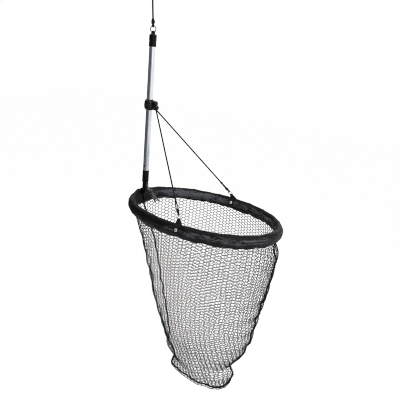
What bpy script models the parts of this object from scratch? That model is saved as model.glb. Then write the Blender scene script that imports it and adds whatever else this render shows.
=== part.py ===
"""Drop net: a short pole that hangs from a rope, a hinged oval hoop held level by two stays, and a net bag.

The frame's origin is where the hanging ring bears in the eye of the pole's cap. +Z runs up the pole,
+X from the pole towards the far end of the hoop, and the XZ plane is the plane of symmetry. Near is -Y and
far is +Y.
"""
import math

import bmesh
import bpy
from mathutils import Matrix, Vector

for leftover in list(bpy.data.objects):
    bpy.data.objects.remove(leftover, do_unlink=True)

MM = 0.001
NEAR = -1
FAR = 1
SIDES = {"near": NEAR, "far": FAR}
UP = Vector((0.0, 0.0, 1.0))
ALONG = Vector((1.0, 0.0, 0.0))
OVER = Vector((0.0, 1.0, 0.0))
# The turn that lays a turned shape across the pole
ACROSS = (math.pi / 2.0, 0.0, 0.0)

# Running clearance between two pieces that touch or turn on each other
GAP = 0.3 * MM
# How far a cutter runs past the surface that it opens
PAST = 5.0 * MM
# Chamfer on the rims of moulded and turned pieces
EDGE = 0.8 * MM
# How far a pin or a screw runs past its nut
THREAD_END = 1.2 * MM

# Rope, its knots and the hanging ring
ROPE_D = 4.5 * MM
ROPE_LENGTH = 77.0 * MM
ROPE_LEAN = math.radians(5.2)
KNOT_D = 12.0 * MM
KNOT_LENGTH = 19.0 * MM
TOP_LOOP_WIDTH = 26.0 * MM
TOP_LOOP_LENGTH = 44.0 * MM
RING_OUTER_D = 26.0 * MM
RING_WIRE_D = 2.6 * MM

# Pole
HINGE_DROP = 572.0 * MM
TUBE_D = 22.0 * MM
TUBE_WALL = 1.5 * MM
ROUND_STEPS = 20
CAP_D = 25.5 * MM
CAP_DEPTH = 46.0 * MM
CAP_SHOULDER = 5.5 * MM
CAP_ROOF = 6.5 * MM
LUG_TOP = 7.0 * MM
LUG_D = 17.6 * MM
LUG_THICKNESS = 4.0 * MM
# Rounded shoulder of the cap: share of the way in to the lug, and the drop below the lug's foot
CAP_CURVE = [(0.0, 3.2 * MM), (0.12, 1.6 * MM), (0.4, 0.5 * MM), (1.0, -1.0 * MM)]
EYE_D = 6.0 * MM
RIVET_D = 3.6 * MM
RIVET_HEAD_D = 6.6 * MM
RIVET_HEAD_HEIGHT = 1.3 * MM
CAP_RIVET_DROP = 31.0 * MM

# Foot of the pole: plug, fork and hinge, sizes up from the hinge's axis
FOOT_D = 23.8 * MM
FOOT_TOP = 76.0 * MM
FOOT_BOTTOM = 28.0 * MM
FOOT_EDGE = 3.0 * MM
SPIGOT_LENGTH = 35.0 * MM
FOOT_RIVET_RISE = 94.0 * MM
NECK_RISE = 24.0 * MM
NECK_FORWARD = 1.5 * MM
NECK_R = 9.5 * MM
FORK_R = 10.0 * MM
FORK_WIDTH = 17.0 * MM
TONGUE_WIDTH = 8.0 * MM
TONGUE_R = 9.5 * MM
HINGE_PIN_D = 6.0 * MM
HINGE_HEAD_D = 11.0 * MM
HINGE_HEAD_HEIGHT = 3.2 * MM
HINGE_NUT_ACROSS = 10.0 * MM
HINGE_NUT_HEIGHT = 5.0 * MM
WASHER_D = 12.5 * MM
WASHER_THICKNESS = 1.0 * MM

# Lock lever, its pivot counted from the hinge's axis
LEVER_FORWARD = 6.5 * MM
LEVER_RISE = 21.0 * MM
LEVER_WIDTH = 7.6 * MM
# Middle line of the lever down from its pivot and round to its thumb end: (forward, up, breadth)
LEVER_LINE = [(0.0, 0.0, 7.4 * MM), (3.7 * MM, -5.2 * MM, 5.2 * MM), (6.1 * MM, -10.5 * MM, 4.4 * MM),
              (7.3 * MM, -15.0 * MM, 4.6 * MM), (12.4 * MM, -18.1 * MM, 3.4 * MM),
              (19.0 * MM, -19.4 * MM, 3.0 * MM), (25.5 * MM, -18.6 * MM, 4.0 * MM)]
LEVER_PIN_D = 3.0 * MM
LEVER_PIN_HEAD_D = 5.2 * MM
LEVER_PIN_HEAD_HEIGHT = 1.0 * MM
LEVER_EYE_WIDTH = 4.2 * MM
SPRING_WIRE_D = 0.7 * MM
SPRING_PITCH = 0.85 * MM
SPRING_TURNS = 2
SPRING_LEG_REACH = 5.0 * MM

# Collar on the pole that carries the stays
COLLAR_DROP = 248.0 * MM
COLLAR_HEIGHT = 38.0 * MM
COLLAR_D = 37.0 * MM
COLLAR_EDGE = 3.5 * MM
COLLAR_SPLIT = 4.0 * MM
EAR_OUTER = 14.0 * MM
EAR_ROOT = 1.5 * MM
SCREW_EAR_R = (9.0 * MM, 8.0 * MM)
STAY_EAR_R = (8.0 * MM, 5.0 * MM)
SCREW_D = 4.0 * MM
SCREW_FORWARD = 25.0 * MM
SCREW_RISE = 7.0 * MM
SCREW_HEAD_D = 7.6 * MM
SCREW_HEAD_HEIGHT = 3.0 * MM
SCREW_SOCKET_DEPTH = 1.6 * MM
SCREW_NUT_ACROSS = 7.0 * MM
SCREW_NUT_HEIGHT = 3.2 * MM
STAY_HOLE_FORWARD = 31.0 * MM
STAY_HOLE_DROP = 4.0 * MM

# Stays
STAY_D = 3.6 * MM
STAY_KNOT_D = 9.0 * MM
STAY_LOOP_DROP = 9.5 * MM
STAY_LOOP_SLACK = 1.0 * MM
STAY_EYE_LENGTH = 46.0 * MM
STAY_EYE_D = 6.4 * MM
STAY_RING_D = 19.0 * MM
STAY_RING_WIRE_D = 2.2 * MM

# Hoop: size over the padded band
HOOP_LENGTH = 600.0 * MM
HOOP_WIDTH = 400.0 * MM
HOOP_CENTRE = 266.0 * MM
HOOP_DROP = 28.0 * MM
BAND_WIDTH = 25.0 * MM
BAND_HEIGHT = 42.0 * MM
BAND_WALL = 1.2 * MM
BAND_SLIT = 10.0 * MM
HOOP_STEPS = 22
BAND_SIDES = 12
ROD_SIDES = 6
FOAM_SLACK = 0.96
ROD_D = 8.0 * MM
ROD_END_GAP = 1.0 * MM
SOCKET_D = 14.0 * MM
SOCKET_LENGTH = 22.0 * MM

# Tabs that tie the stays to the band, one at each side
TAB_WIDTH = 22.0 * MM
TAB_THICKNESS = 1.4 * MM
TAB_NECK = 17.0 * MM
TAB_NECK_ROOT = 3.0 * MM
TAB_FOLD_WIDTH = 8.0 * MM
TAB_LEAN = math.radians(18.0)
TAB_END_RISE = 2.5 * MM
EYELET_D = 10.0 * MM
EYELET_THICKNESS = 1.0 * MM
EYELET_RISE = 5.2 * MM

# Ribbon tied inside the band near the foot
RIBBON_WIDTH = 9.0 * MM
RIBBON_THICKNESS = 0.9 * MM
RIBBON_ANGLE = math.radians(166.5)
# Its two tails from above the knot down, as (along the band, up from the hoop's plane)
RIBBON_TAILS = [
    [(0.0, 6.0 * MM), (8.0 * MM, -8.0 * MM), (18.0 * MM, -21.0 * MM), (23.0 * MM, -36.0 * MM)],
    [(4.0 * MM, 5.0 * MM), (14.0 * MM, -7.0 * MM), (28.0 * MM, -20.0 * MM), (41.0 * MM, -34.0 * MM)],
]

# Net bag, sizes down from the hoop's plane
NET_DEPTH = 676.0 * MM
NET_BELLY = 24.0 * MM
NET_KEEL = 6.0 * MM
# The net's grid is far coarser than the real mesh: its openings across one side and down it, and its strands
NET_COLUMNS = 9
NET_LEVELS = 9
NET_STRAND = 4.0 * MM
NET_STRAND_DEPTH = 2.0 * MM
SEAM_D = 3.0 * MM
# Outline of the hanging bag, read down it: share of the depth, then the foot side, the far side and the
# half width, as shares of the half length and half width of the hoop's rod
BAG_OUTLINE = [(0.163, -0.793, 1.023, 1.040), (0.370, -0.612, 0.953, 1.013), (0.592, -0.452, 0.856, 0.853),
               (0.814, -0.348, 0.744, 0.448)]
# The same shares for the two corners of the bottom seam
BAG_CORNERS = (-0.275, 0.668)


def material(name, colour, roughness, metallic=0.0):
    """A Principled material from a linear colour."""
    made = bpy.data.materials.new(name)
    made.use_nodes = True
    shader = made.node_tree.nodes["Principled BSDF"]
    shader.inputs["Base Color"].default_value = (*colour, 1.0)
    shader.inputs["Roughness"].default_value = roughness
    shader.inputs["Metallic"].default_value = metallic
    made.diffuse_color = (*colour, 1.0)
    return made


ALUMINIUM = material("satin_aluminium", (0.78, 0.79, 0.80), 0.35, 1.0)
STEEL = material("nickel_steel", (0.62, 0.61, 0.59), 0.25, 1.0)
BLACK_PLASTIC = material("black_plastic", (0.015, 0.015, 0.018), 0.45)
BLACK_CORD = material("black_cord", (0.012, 0.012, 0.014), 0.85)
BLACK_WEBBING = material("black_webbing", (0.014, 0.014, 0.016), 0.8)
BAND_CLOTH = material("band_cloth", (0.018, 0.018, 0.022), 0.75)
FOAM = material("grey_foam", (0.08, 0.08, 0.085), 0.95)
GLASS_ROD = material("glass_fibre_rod", (0.04, 0.04, 0.045), 0.4)
NET_CORD = material("net_cord", (0.012, 0.012, 0.012), 0.7)
OLIVE_RIBBON = material("olive_ribbon", (0.10, 0.10, 0.05), 0.8)


def empty(name, location, parent=None, rotation=(0.0, 0.0, 0.0)):
    """An empty that carries a moving group, with its origin on the group's joint."""
    made = bpy.data.objects.new(name, None)
    made.location = location
    made.rotation_euler = rotation
    made.parent = parent
    bpy.context.collection.objects.link(made)
    return made


def place(made, parent, location, rotation, finish):
    """Link an object under its group and give it its material."""
    made.parent = parent
    made.location = location
    made.rotation_euler = rotation
    if finish is not None:
        made.data.materials.append(finish)
    bpy.context.collection.objects.link(made)
    return made


def solid(name, shape, finish, parent, location=(0.0, 0.0, 0.0), rotation=(0.0, 0.0, 0.0), crease=35.0):
    """An object from a bmesh, with its faces turned outwards and its round faces shaded smooth."""
    bmesh.ops.recalc_face_normals(shape, faces=shape.faces)
    mesh = bpy.data.meshes.new(name)
    shape.to_mesh(mesh)
    shape.free()
    mesh.shade_smooth()
    mesh.set_sharp_from_angle(angle=math.radians(crease))
    return place(bpy.data.objects.new(name, mesh), parent, location, rotation, finish)


def tool(shape, base, location=(0.0, 0.0, 0.0), rotation=(0.0, 0.0, 0.0)):
    """A hidden shape that a Boolean reads, in the frame of the group that the base object is in."""
    made = solid(base.name + "_tool", shape, None, base.parent, location, rotation)
    made.hide_render = True
    made.display_type = "WIRE"
    return made


def combine(base, other, operation):
    """Cut or join a shape with an exact Boolean."""
    change = base.modifiers.new(operation.lower(), "BOOLEAN")
    change.operation = operation
    change.solver = "EXACT"
    change.object = other


def cut(base, shape, location=(0.0, 0.0, 0.0), rotation=(0.0, 0.0, 0.0)):
    """Cut a shape out of an object."""
    combine(base, tool(shape, base, location, rotation), "DIFFERENCE")


def join(base, shape, location=(0.0, 0.0, 0.0), rotation=(0.0, 0.0, 0.0)):
    """Fuse a shape with an object."""
    combine(base, tool(shape, base, location, rotation), "UNION")


def loft(rings, closed=False):
    """A closed skin through rings of equal length, with a flat face on each end unless the rings close."""
    shape = bmesh.new()
    rows = [[shape.verts.new(point) for point in ring] for ring in rings]
    count = len(rows[0])
    pairs = list(zip(rows, rows[1:]))
    if closed:
        pairs.append((rows[-1], rows[0]))
    for lower, upper in pairs:
        for i in range(count):
            j = (i + 1) % count
            shape.faces.new((lower[i], lower[j], upper[j], upper[i]))
    if not closed:
        shape.faces.new(rows[0])
        shape.faces.new(rows[-1])
    return shape


def pipe(outer, inner):
    """A thick skin between outer rings and inner rings that is open at both ends."""
    return loft(list(outer) + list(reversed(inner)), closed=True)


def lathe(profile, steps=ROUND_STEPS):
    """Turn a profile of (radius, height) about Z. One that starts and ends on the axis makes a solid."""
    shape = bmesh.new()
    rows = []
    for radius, height in profile:
        if radius == 0.0:
            rows.append([shape.verts.new((0.0, 0.0, height))])
            continue
        turns = [2.0 * math.pi * i / steps for i in range(steps)]
        rows.append([shape.verts.new((radius * math.cos(t), radius * math.sin(t), height)) for t in turns])
    pairs = list(zip(rows, rows[1:]))
    if len(rows[0]) > 1:
        pairs.append((rows[-1], rows[0]))
    for lower, upper in pairs:
        rim, pole = (upper, lower[0]) if len(lower) == 1 else (lower, upper[0])
        if min(len(lower), len(upper)) == 1 and pole.co.z == rim[0].co.z:
            shape.faces.new(rim)
            shape.verts.remove(pole)
            continue
        for i in range(steps):
            j = (i + 1) % steps
            first = [lower[i % len(lower)], lower[j % len(lower)]]
            second = [upper[j % len(upper)], upper[i % len(upper)]]
            shape.faces.new(list(dict.fromkeys(first + second)))
    return shape


def both_ends(upper):
    """A profile that is the same at both ends, from its upper half."""
    return [(radius, -height) for radius, height in reversed(upper)] + upper


def rod(radius, start, end, steps=16):
    """A plain cylinder along Z."""
    return loft([ring_about(UP * height, ALONG, OVER, radius, steps) for height in (start, end)])


def prism(outline, low, high, axis="Y"):
    """Extrude a flat outline of (x, z) along Y, or of (x, y) along Z."""
    def corner(point, depth):
        return (point[0], depth, point[1]) if axis == "Y" else (point[0], point[1], depth)
    return loft([[corner(point, low) for point in outline], [corner(point, high) for point in outline]])


def block(low, high):
    """A box between two corners."""
    outline = [(low[0], low[1]), (high[0], low[1]), (high[0], high[1]), (low[0], high[1])]
    return prism(outline, low[2], high[2], axis="Z")


def hexagon(across, low, high, bore):
    """A hexagonal nut along Z with a plain bore."""
    steps = 6
    reach = across / 2.0 / math.cos(math.pi / steps)
    inner = bore / 2.0 / math.cos(math.pi / steps)
    turns = [2.0 * math.pi * i / steps for i in range(steps)]

    def ring(radius, height):
        return [(radius * math.cos(t), radius * math.sin(t), height) for t in turns]
    return loft([ring(reach, low), ring(reach, high), ring(inner, high), ring(inner, low)], closed=True)


def link_outline(first, first_radius, second, second_radius, steps=20):
    """The outline of a flat link: two circles and their outer tangents, going round anticlockwise."""
    between = Vector(second) - Vector(first)
    heading = math.atan2(between.y, between.x)
    spread = math.acos((first_radius - second_radius) / between.length)

    def arc(centre, radius, start, end):
        turns = [start + (end - start) * i / steps for i in range(steps + 1)]
        return [(centre[0] + radius * math.cos(t), centre[1] + radius * math.sin(t)) for t in turns]
    far_arc = arc(second, second_radius, heading - spread, heading + spread)
    near_arc = arc(first, first_radius, heading + spread, heading + 2.0 * math.pi - spread)
    return far_arc + near_arc


def smooth(points, spans):
    """A smooth curve through points of any dimension, with so many steps to each span."""
    knots = [Vector(point) for point in points]
    ahead = [knots[0] * 2.0 - knots[1]] + knots + [knots[-1] * 2.0 - knots[-2]]
    curve = []
    for a, b, c, d in zip(ahead, ahead[1:], ahead[2:], ahead[3:]):
        for i in range(spans):
            t = i / spans
            bend = (2.0 * a - 5.0 * b + 4.0 * c - d) * t * t + (3.0 * b - a - 3.0 * c + d) * t * t * t
            curve.append((2.0 * b + (c - a) * t + bend) * 0.5)
    curve.append(knots[-1])
    return curve


def bar_outline(stations, spans=4):
    """The outline of a bent bar with rounded ends, through stations of (x, z, breadth)."""
    line = smooth(stations, spans)
    left = []
    right = []
    for i, knot in enumerate(line):
        heading = (line[min(i + 1, len(line) - 1)] - line[max(i - 1, 0)]).to_2d().normalized()
        across = Vector((-heading.y, heading.x)) * knot.z / 2.0
        left.append(knot.to_2d() + across)
        right.append(knot.to_2d() - across)

    def round_end(centre, start, turn):
        steps = 6
        arm = start - centre
        return [centre + Matrix.Rotation(turn * math.pi * i / steps, 2) @ arm for i in range(1, steps)]
    far_cap = round_end(line[-1].to_2d(), left[-1], -1.0)
    near_cap = round_end(line[0].to_2d(), right[0], -1.0)
    return [tuple(point) for point in left + far_cap + right[::-1] + near_cap]


def ring_about(centre, first, second, radius, steps):
    """Points of a circle in the plane of two unit vectors."""
    turns = [2.0 * math.pi * i / steps for i in range(steps)]
    return [centre + (first * math.cos(t) + second * math.sin(t)) * radius for t in turns]


def loop_tube(path, normal, radius, sides=6):
    """A closed tube round a flat closed path with the given plane normal."""
    rings = []
    for i, point in enumerate(path):
        heading = (path[(i + 1) % len(path)] - path[i - 1]).normalized()
        rings.append(ring_about(point, normal, heading.cross(normal), radius, sides))
    return loft(rings, closed=True)


def hoop_ring(centre, first, second, outer_d, wire_d, steps=20, sides=6):
    """A round wire ring in the plane of two unit vectors."""
    path = ring_about(centre, first, second, (outer_d - wire_d) / 2.0, steps)
    return loop_tube(path, first.cross(second), wire_d / 2.0, sides)


def cord(name, points, diameter, finish, parent, roundness=2):
    """A cord along points: a curve with a round bevel and filled ends."""
    line = bpy.data.curves.new(name, "CURVE")
    line.dimensions = "3D"
    line.bevel_depth = diameter / 2.0
    line.bevel_resolution = roundness
    line.render_resolution_u = 0
    line.use_fill_caps = True
    run = line.splines.new("POLY")
    run.points.add(len(points) - 1)
    for knot, point in zip(run.points, points):
        knot.co = (*point, 1.0)
    return place(bpy.data.objects.new(name, line), parent, (0.0, 0.0, 0.0), (0.0, 0.0, 0.0), finish)


def straight(start, end, count):
    """Evenly spaced points on a straight line."""
    return [start.lerp(end, i / (count - 1)) for i in range(count)]


def facing(direction):
    """The turn that takes +Z to a direction."""
    return direction.to_track_quat("Z", "X").to_euler()


def knot_shape(length, diameter, cord_d):
    """A tight knot as a turned spindle that stands on the origin."""
    wraps = [(0.42, 0.10), (0.50, 0.27), (0.46, 0.45), (0.36, 0.55), (0.40, 0.68), (0.34, 0.85)]
    profile = [(diameter * width, length * height) for width, height in wraps]
    return lathe([(0.0, 0.0), (cord_d * 0.75, 0.0)] + profile + [(cord_d * 0.6, length), (0.0, length)], 12)


def rope_and_ring(group):
    """The hanging ring, the knotted rope through it and the rope's top loop just above."""
    ring_radius = (RING_OUTER_D - RING_WIRE_D) / 2.0
    middle = Vector((0.0, 0.0, ring_radius))
    solid("hanging_ring", hoop_ring(middle, ALONG, UP, RING_OUTER_D, RING_WIRE_D, 24), STEEL, group)

    loop_radius = RING_WIRE_D / 2.0 + GAP + ROPE_D / 2.0
    ring_top = Vector((0.0, 0.0, 2.0 * ring_radius))
    loop = ring_about(ring_top, OVER, UP, loop_radius, 16)
    knot = solid("rope_ring_knot", loop_tube(loop, ALONG, ROPE_D / 2.0), BLACK_CORD, group)
    knot_foot = ring_top.z + loop_radius
    join(knot, knot_shape(KNOT_LENGTH, KNOT_D, ROPE_D), (0.0, 0.0, knot_foot))

    rope_foot = knot_foot + KNOT_LENGTH + GAP
    rope_top = rope_foot + ROPE_LENGTH
    run = straight(Vector((0.0, 0.0, rope_foot)), Vector((0.0, 0.0, rope_top)), 9)
    cord("suspension_rope", run, ROPE_D, BLACK_CORD, group)

    top_knot = solid("rope_top_loop", knot_shape(KNOT_LENGTH, KNOT_D, ROPE_D), BLACK_CORD, group,
                     (0.0, 0.0, rope_top + GAP))
    half_height = TOP_LOOP_LENGTH / 2.0
    middle = Vector((0.0, 0.0, rope_top + GAP + KNOT_LENGTH - ROPE_D / 2.0 + half_height))
    bight = oval_ring(middle, ALONG, UP, TOP_LOOP_WIDTH / 2.0, half_height, 20)
    join(top_knot, loop_tube(bight, OVER, ROPE_D / 2.0))


def rivet(name, span, group, height):
    """A rivet right through the pole along Y, with a domed head at each end."""
    seat = span / 2.0 + GAP
    head = RIVET_HEAD_D / 2.0
    tall = RIVET_HEAD_HEIGHT
    upper = [(RIVET_D / 2.0, seat), (head, seat), (head, seat + tall * 0.35),
             (head * 0.6, seat + tall * 0.9), (0.0, seat + tall)]
    solid(name, lathe(both_ends(upper), 12), STEEL, group, (0.0, 0.0, height), ACROSS)


def rivet_hole(base, height):
    """The cross hole for a rivet."""
    reach = FOOT_D
    cut(base, rod(RIVET_D / 2.0 + GAP, -reach, reach, 12), (0.0, 0.0, height), ACROSS)


def pole_cap(group):
    """The cap on the pole's top: a deep cup with a flat lug that the hanging ring passes through."""
    shell = CAP_D / 2.0
    bore = TUBE_D / 2.0 + GAP
    roof = -(CAP_SHOULDER + CAP_ROOF)
    lug = LUG_D / 2.0
    inside = [(0.0, roof), (bore, roof), (bore, -CAP_DEPTH)]
    rim = [(shell - EDGE, -CAP_DEPTH), (shell, EDGE - CAP_DEPTH)]
    shoulder = [(shell - (shell - lug) * inward, -CAP_SHOULDER - drop) for inward, drop in CAP_CURVE]
    crown = [(lug, 0.0), (lug * 0.86, LUG_TOP * 0.55), (lug * 0.5, LUG_TOP * 0.9), (0.0, LUG_TOP)]
    cap = solid("pole_cap", lathe(inside + rim + shoulder + crown), BLACK_PLASTIC, group)
    flat = LUG_THICKNESS / 2.0
    for side in (-1, 1):
        near_x = side * flat
        far_x = side * (shell + PAST)
        low = (min(near_x, far_x), -shell - PAST, -CAP_SHOULDER)
        high = (max(near_x, far_x), shell + PAST, LUG_TOP + PAST)
        cut(cap, block(low, high))
    ring_radius = (RING_OUTER_D - RING_WIRE_D) / 2.0
    rise = ring_radius - math.sqrt(ring_radius ** 2 - flat ** 2) + flat * math.tan(ROPE_LEAN)
    eye_drop = EYE_D / 2.0 - RING_WIRE_D / 2.0 - GAP - rise
    cut(cap, rod(EYE_D / 2.0, -shell, shell, 20), (0.0, 0.0, -eye_drop), (0.0, math.pi / 2.0, 0.0))
    rivet_hole(cap, -CAP_RIVET_DROP)
    rivet("cap_rivet", CAP_D, group, -CAP_RIVET_DROP)


def pole_tube(group):
    """The aluminium tube between the cap and the foot."""
    outer = TUBE_D / 2.0
    inner = outer - TUBE_WALL
    top = -(CAP_SHOULDER + CAP_ROOF + GAP)
    bottom = FOOT_TOP + GAP - HINGE_DROP
    profile = [(inner, bottom), (outer, bottom), (outer, top), (inner, top)]
    tube = solid("pole_tube", lathe(profile), ALUMINIUM, group)
    rivet_hole(tube, -CAP_RIVET_DROP)
    rivet_hole(tube, FOOT_RIVET_RISE - HINGE_DROP)


def pole_foot(group):
    """The moulded foot: a plug in the tube, a barrel, and a fork for the hoop's tongue and the lever."""
    plug = TUBE_D / 2.0 - TUBE_WALL - GAP
    barrel = FOOT_D / 2.0
    low_edge = FOOT_BOTTOM + FOOT_EDGE
    plug_top = FOOT_TOP + SPIGOT_LENGTH
    profile = [(0.0, FOOT_BOTTOM), (barrel - FOOT_EDGE, FOOT_BOTTOM), (barrel - EDGE, low_edge),
               (barrel, low_edge + 2.0 * EDGE), (barrel, FOOT_TOP - EDGE), (barrel - EDGE, FOOT_TOP),
               (plug, FOOT_TOP), (plug, plug_top - 2.0 * EDGE), (plug - 2.0 * EDGE, plug_top),
               (0.0, plug_top)]
    hinge = (0.0, 0.0, -HINGE_DROP)
    foot = solid("pole_foot", lathe(profile), BLACK_PLASTIC, group, hinge)
    half = FORK_WIDTH / 2.0
    neck = link_outline((0.0, 0.0), FORK_R, (NECK_FORWARD, NECK_RISE), NECK_R, 12)
    join(foot, prism(neck, -half, half), hinge)

    slot = TONGUE_WIDTH / 2.0 + GAP
    slot_top = TONGUE_R + GAP
    wide = FOOT_D
    cut(foot, block((-wide, -slot, -wide), (wide, slot, slot_top)), hinge)
    pocket = LEVER_WIDTH / 2.0 + GAP
    pocket_back = LEVER_FORWARD - SPRING_LEG_REACH - SPRING_WIRE_D
    pocket_top = LEVER_RISE + SPRING_LEG_REACH + SPRING_WIRE_D
    cut(foot, block((pocket_back, -pocket, -wide), (wide, pocket, pocket_top)), hinge)
    cut(foot, rod(HINGE_PIN_D / 2.0 + GAP, -wide, wide), hinge, ACROSS)
    lever_axis = (LEVER_FORWARD, 0.0, LEVER_RISE - HINGE_DROP)
    cut(foot, rod(LEVER_PIN_D / 2.0 + GAP, -wide, wide, 12), lever_axis, ACROSS)
    rivet_hole(foot, FOOT_RIVET_RISE - HINGE_DROP)
    rivet("foot_rivet", TUBE_D, group, FOOT_RIVET_RISE - HINGE_DROP)


def hinge_hardware(group):
    """The hinge pin through the fork, a washer under its head and its nut, and the nut."""
    half = FORK_WIDTH / 2.0
    seat = half + GAP + WASHER_THICKNESS + GAP
    shank = HINGE_PIN_D / 2.0
    head = HINGE_HEAD_D / 2.0
    end = seat + HINGE_NUT_HEIGHT + THREAD_END
    hinge = (0.0, 0.0, -HINGE_DROP)
    dome = [(shank, seat), (head, seat), (head, seat + HINGE_HEAD_HEIGHT * 0.4),
            (head * 0.8, seat + HINGE_HEAD_HEIGHT * 0.85), (head * 0.4, seat + HINGE_HEAD_HEIGHT),
            (0.0, seat + HINGE_HEAD_HEIGHT)]
    shaft = [(0.0, -end), (shank - EDGE, -end), (shank, EDGE - end)]
    solid("hinge_pin", lathe(shaft + dome, 16), STEEL, group, hinge, ACROSS)
    bore = shank + GAP
    rim = WASHER_D / 2.0
    for name, side in SIDES.items():
        low = half + GAP if side == NEAR else -half - GAP - WASHER_THICKNESS
        high = low + WASHER_THICKNESS
        ring = [(bore, low), (rim, low), (rim, high), (bore, high)]
        solid(name + "_hinge_washer", lathe(ring, 20), STEEL, group, hinge, ACROSS)
    nut = hexagon(HINGE_NUT_ACROSS, -seat - HINGE_NUT_HEIGHT, -seat, 2.0 * bore)
    solid("hinge_nut", nut, STEEL, group, hinge, ACROSS)


def lever_hardware(pole_group, lever_group):
    """The lock lever in the fork's front, its pin and the spring that holds it against the tongue."""
    half = LEVER_WIDTH / 2.0
    lever = solid("lock_lever", prism(bar_outline(LEVER_LINE), -half, half), BLACK_PLASTIC, lever_group)
    cut(lever, rod(LEVER_PIN_D / 2.0 + GAP, -LEVER_WIDTH, LEVER_WIDTH, 12), rotation=ACROSS)
    spring_room = half - LEVER_EYE_WIDTH
    clear = SPRING_LEG_REACH + SPRING_WIRE_D
    cut(lever, rod(clear, -LEVER_WIDTH, spring_room, 20), rotation=ACROSS)

    axis = (LEVER_FORWARD, 0.0, LEVER_RISE - HINGE_DROP)
    shank = LEVER_PIN_D / 2.0
    head = LEVER_PIN_HEAD_D / 2.0
    seat = FORK_WIDTH / 2.0 + GAP
    crown = seat + LEVER_PIN_HEAD_HEIGHT
    bevel = LEVER_PIN_HEAD_HEIGHT * 0.4
    upper = [(shank, seat), (head, seat), (head, crown - bevel), (head - bevel, crown), (0.0, crown)]
    solid("lever_pin", lathe(both_ends(upper), 12), STEEL, pole_group, axis, ACROSS)

    coil = shank + GAP + SPRING_WIRE_D
    start = -spring_room + SPRING_WIRE_D / 2.0 + GAP
    per_turn = 8
    total = SPRING_TURNS * per_turn + per_turn // 2
    wire = []
    for i in range(total + 1):
        turn = 2.0 * math.pi * i / per_turn
        step_along = SPRING_PITCH * i / per_turn
        wire.append(Vector((coil * math.cos(turn), start + step_along, coil * math.sin(turn))))
    leg = math.sqrt(SPRING_LEG_REACH ** 2 - coil ** 2)
    wire.insert(0, wire[0] - UP * leg)
    wire.append(wire[-1] - UP * leg * 0.4)
    spot = Vector(axis)
    cord("lever_spring", [point + spot for point in wire], SPRING_WIRE_D, STEEL, pole_group, roundness=1)


def stay_collar(group):
    """The split collar clamped on the pole: its ears carry the clamp screw and the hole for the stays."""
    half = COLLAR_HEIGHT / 2.0
    shell = COLLAR_D / 2.0
    bore = TUBE_D / 2.0 + GAP
    spot = (0.0, 0.0, -COLLAR_DROP)
    upper = [(shell, half - 2.0 * COLLAR_EDGE), (shell - 0.3 * COLLAR_EDGE, half - 0.7 * COLLAR_EDGE),
             (shell - COLLAR_EDGE, half), (0.0, half)]
    collar = solid("stay_collar", lathe(both_ends(upper)), BLACK_PLASTIC, group, spot)
    screw = (SCREW_FORWARD, SCREW_RISE)
    hole = (STAY_HOLE_FORWARD, -STAY_HOLE_DROP)
    ears = EAR_OUTER / 2.0
    for tip, radii in ((screw, SCREW_EAR_R), (hole, STAY_EAR_R)):
        ear = link_outline((bore + EAR_ROOT, tip[1]), radii[0], tip, radii[1], 8)
        join(collar, prism(ear, -ears, ears), spot)
    far_x = STAY_HOLE_FORWARD * 2.0
    split = COLLAR_SPLIT / 2.0
    cut(collar, block((bore / 2.0, -split, -half - PAST), (far_x, split, half + PAST)), spot)
    cut(collar, rod(bore, -half - PAST, half + PAST, ROUND_STEPS), spot)
    cut(collar, rod(SCREW_D / 2.0 + GAP, -shell, shell, 12), (screw[0], 0.0, screw[1] - COLLAR_DROP), ACROSS)
    cut(collar, rod(STAY_D / 2.0 + GAP, -shell, shell, 12), (hole[0], 0.0, hole[1] - COLLAR_DROP), ACROSS)

    seat = ears + GAP
    shank = SCREW_D / 2.0
    head = SCREW_HEAD_D / 2.0
    socket = shank * 0.9
    top = seat + SCREW_HEAD_HEIGHT
    end = seat + SCREW_NUT_HEIGHT + THREAD_END
    socket_foot = top - SCREW_SOCKET_DEPTH
    shape = [(0.0, -end), (shank, -end), (shank, seat), (head, seat), (head, top - EDGE), (head - EDGE, top),
             (socket, top), (socket, socket_foot), (0.0, socket_foot)]
    axis = (SCREW_FORWARD, 0.0, SCREW_RISE - COLLAR_DROP)
    solid("collar_screw", lathe(shape, 16), STEEL, group, axis, ACROSS)
    nut = hexagon(SCREW_NUT_ACROSS, -seat - SCREW_NUT_HEIGHT, -seat, SCREW_D + 2.0 * GAP)
    solid("collar_nut", nut, STEEL, group, axis, ACROSS)


def stay_knot_centre():
    """The middle of the stays' knot under the collar's ears, in the frame of the pole."""
    return Vector((STAY_HOLE_FORWARD, 0.0, -COLLAR_DROP - STAY_HOLE_DROP - STAY_LOOP_DROP))


def stay_knot(group):
    """The loop through the collar's ears and the knot that both stays leave from."""
    centre = stay_knot_centre()
    bend = STAY_LOOP_DROP / 2.0
    reach = EAR_OUTER / 2.0 + STAY_LOOP_SLACK
    steps = 8
    path = []
    for side in (1, -1):
        for i in range(steps + 1):
            turn = -math.pi / 2.0 + math.pi * i / steps
            out = reach + bend * math.cos(turn)
            rise = bend * math.sin(turn)
            path.append(centre + Vector((0.0, side * out, bend + side * rise)))
    knot = solid("stay_knot", loop_tube(path, ALONG, STAY_D / 2.0), BLACK_CORD, group)
    ball = STAY_KNOT_D / 2.0
    tilts = [math.pi * i / 8 for i in range(1, 8)]
    profile = [(ball * math.sin(tilt), -ball * math.cos(tilt)) for tilt in tilts]
    join(knot, lathe([(0.0, -ball)] + profile + [(0.0, ball)], 12), centre)


def band_axes():
    """Half length and half width of the oval that the hoop's rod follows."""
    return (HOOP_LENGTH - BAND_WIDTH) / 2.0, (HOOP_WIDTH - BAND_WIDTH) / 2.0


def half_angles():
    """Angles of the corners on one half of the hoop, from its far end to its foot end."""
    step = math.pi / HOOP_STEPS
    return [step / 2.0] + [step * i for i in range(1, HOOP_STEPS)] + [math.pi - step / 2.0]


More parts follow.
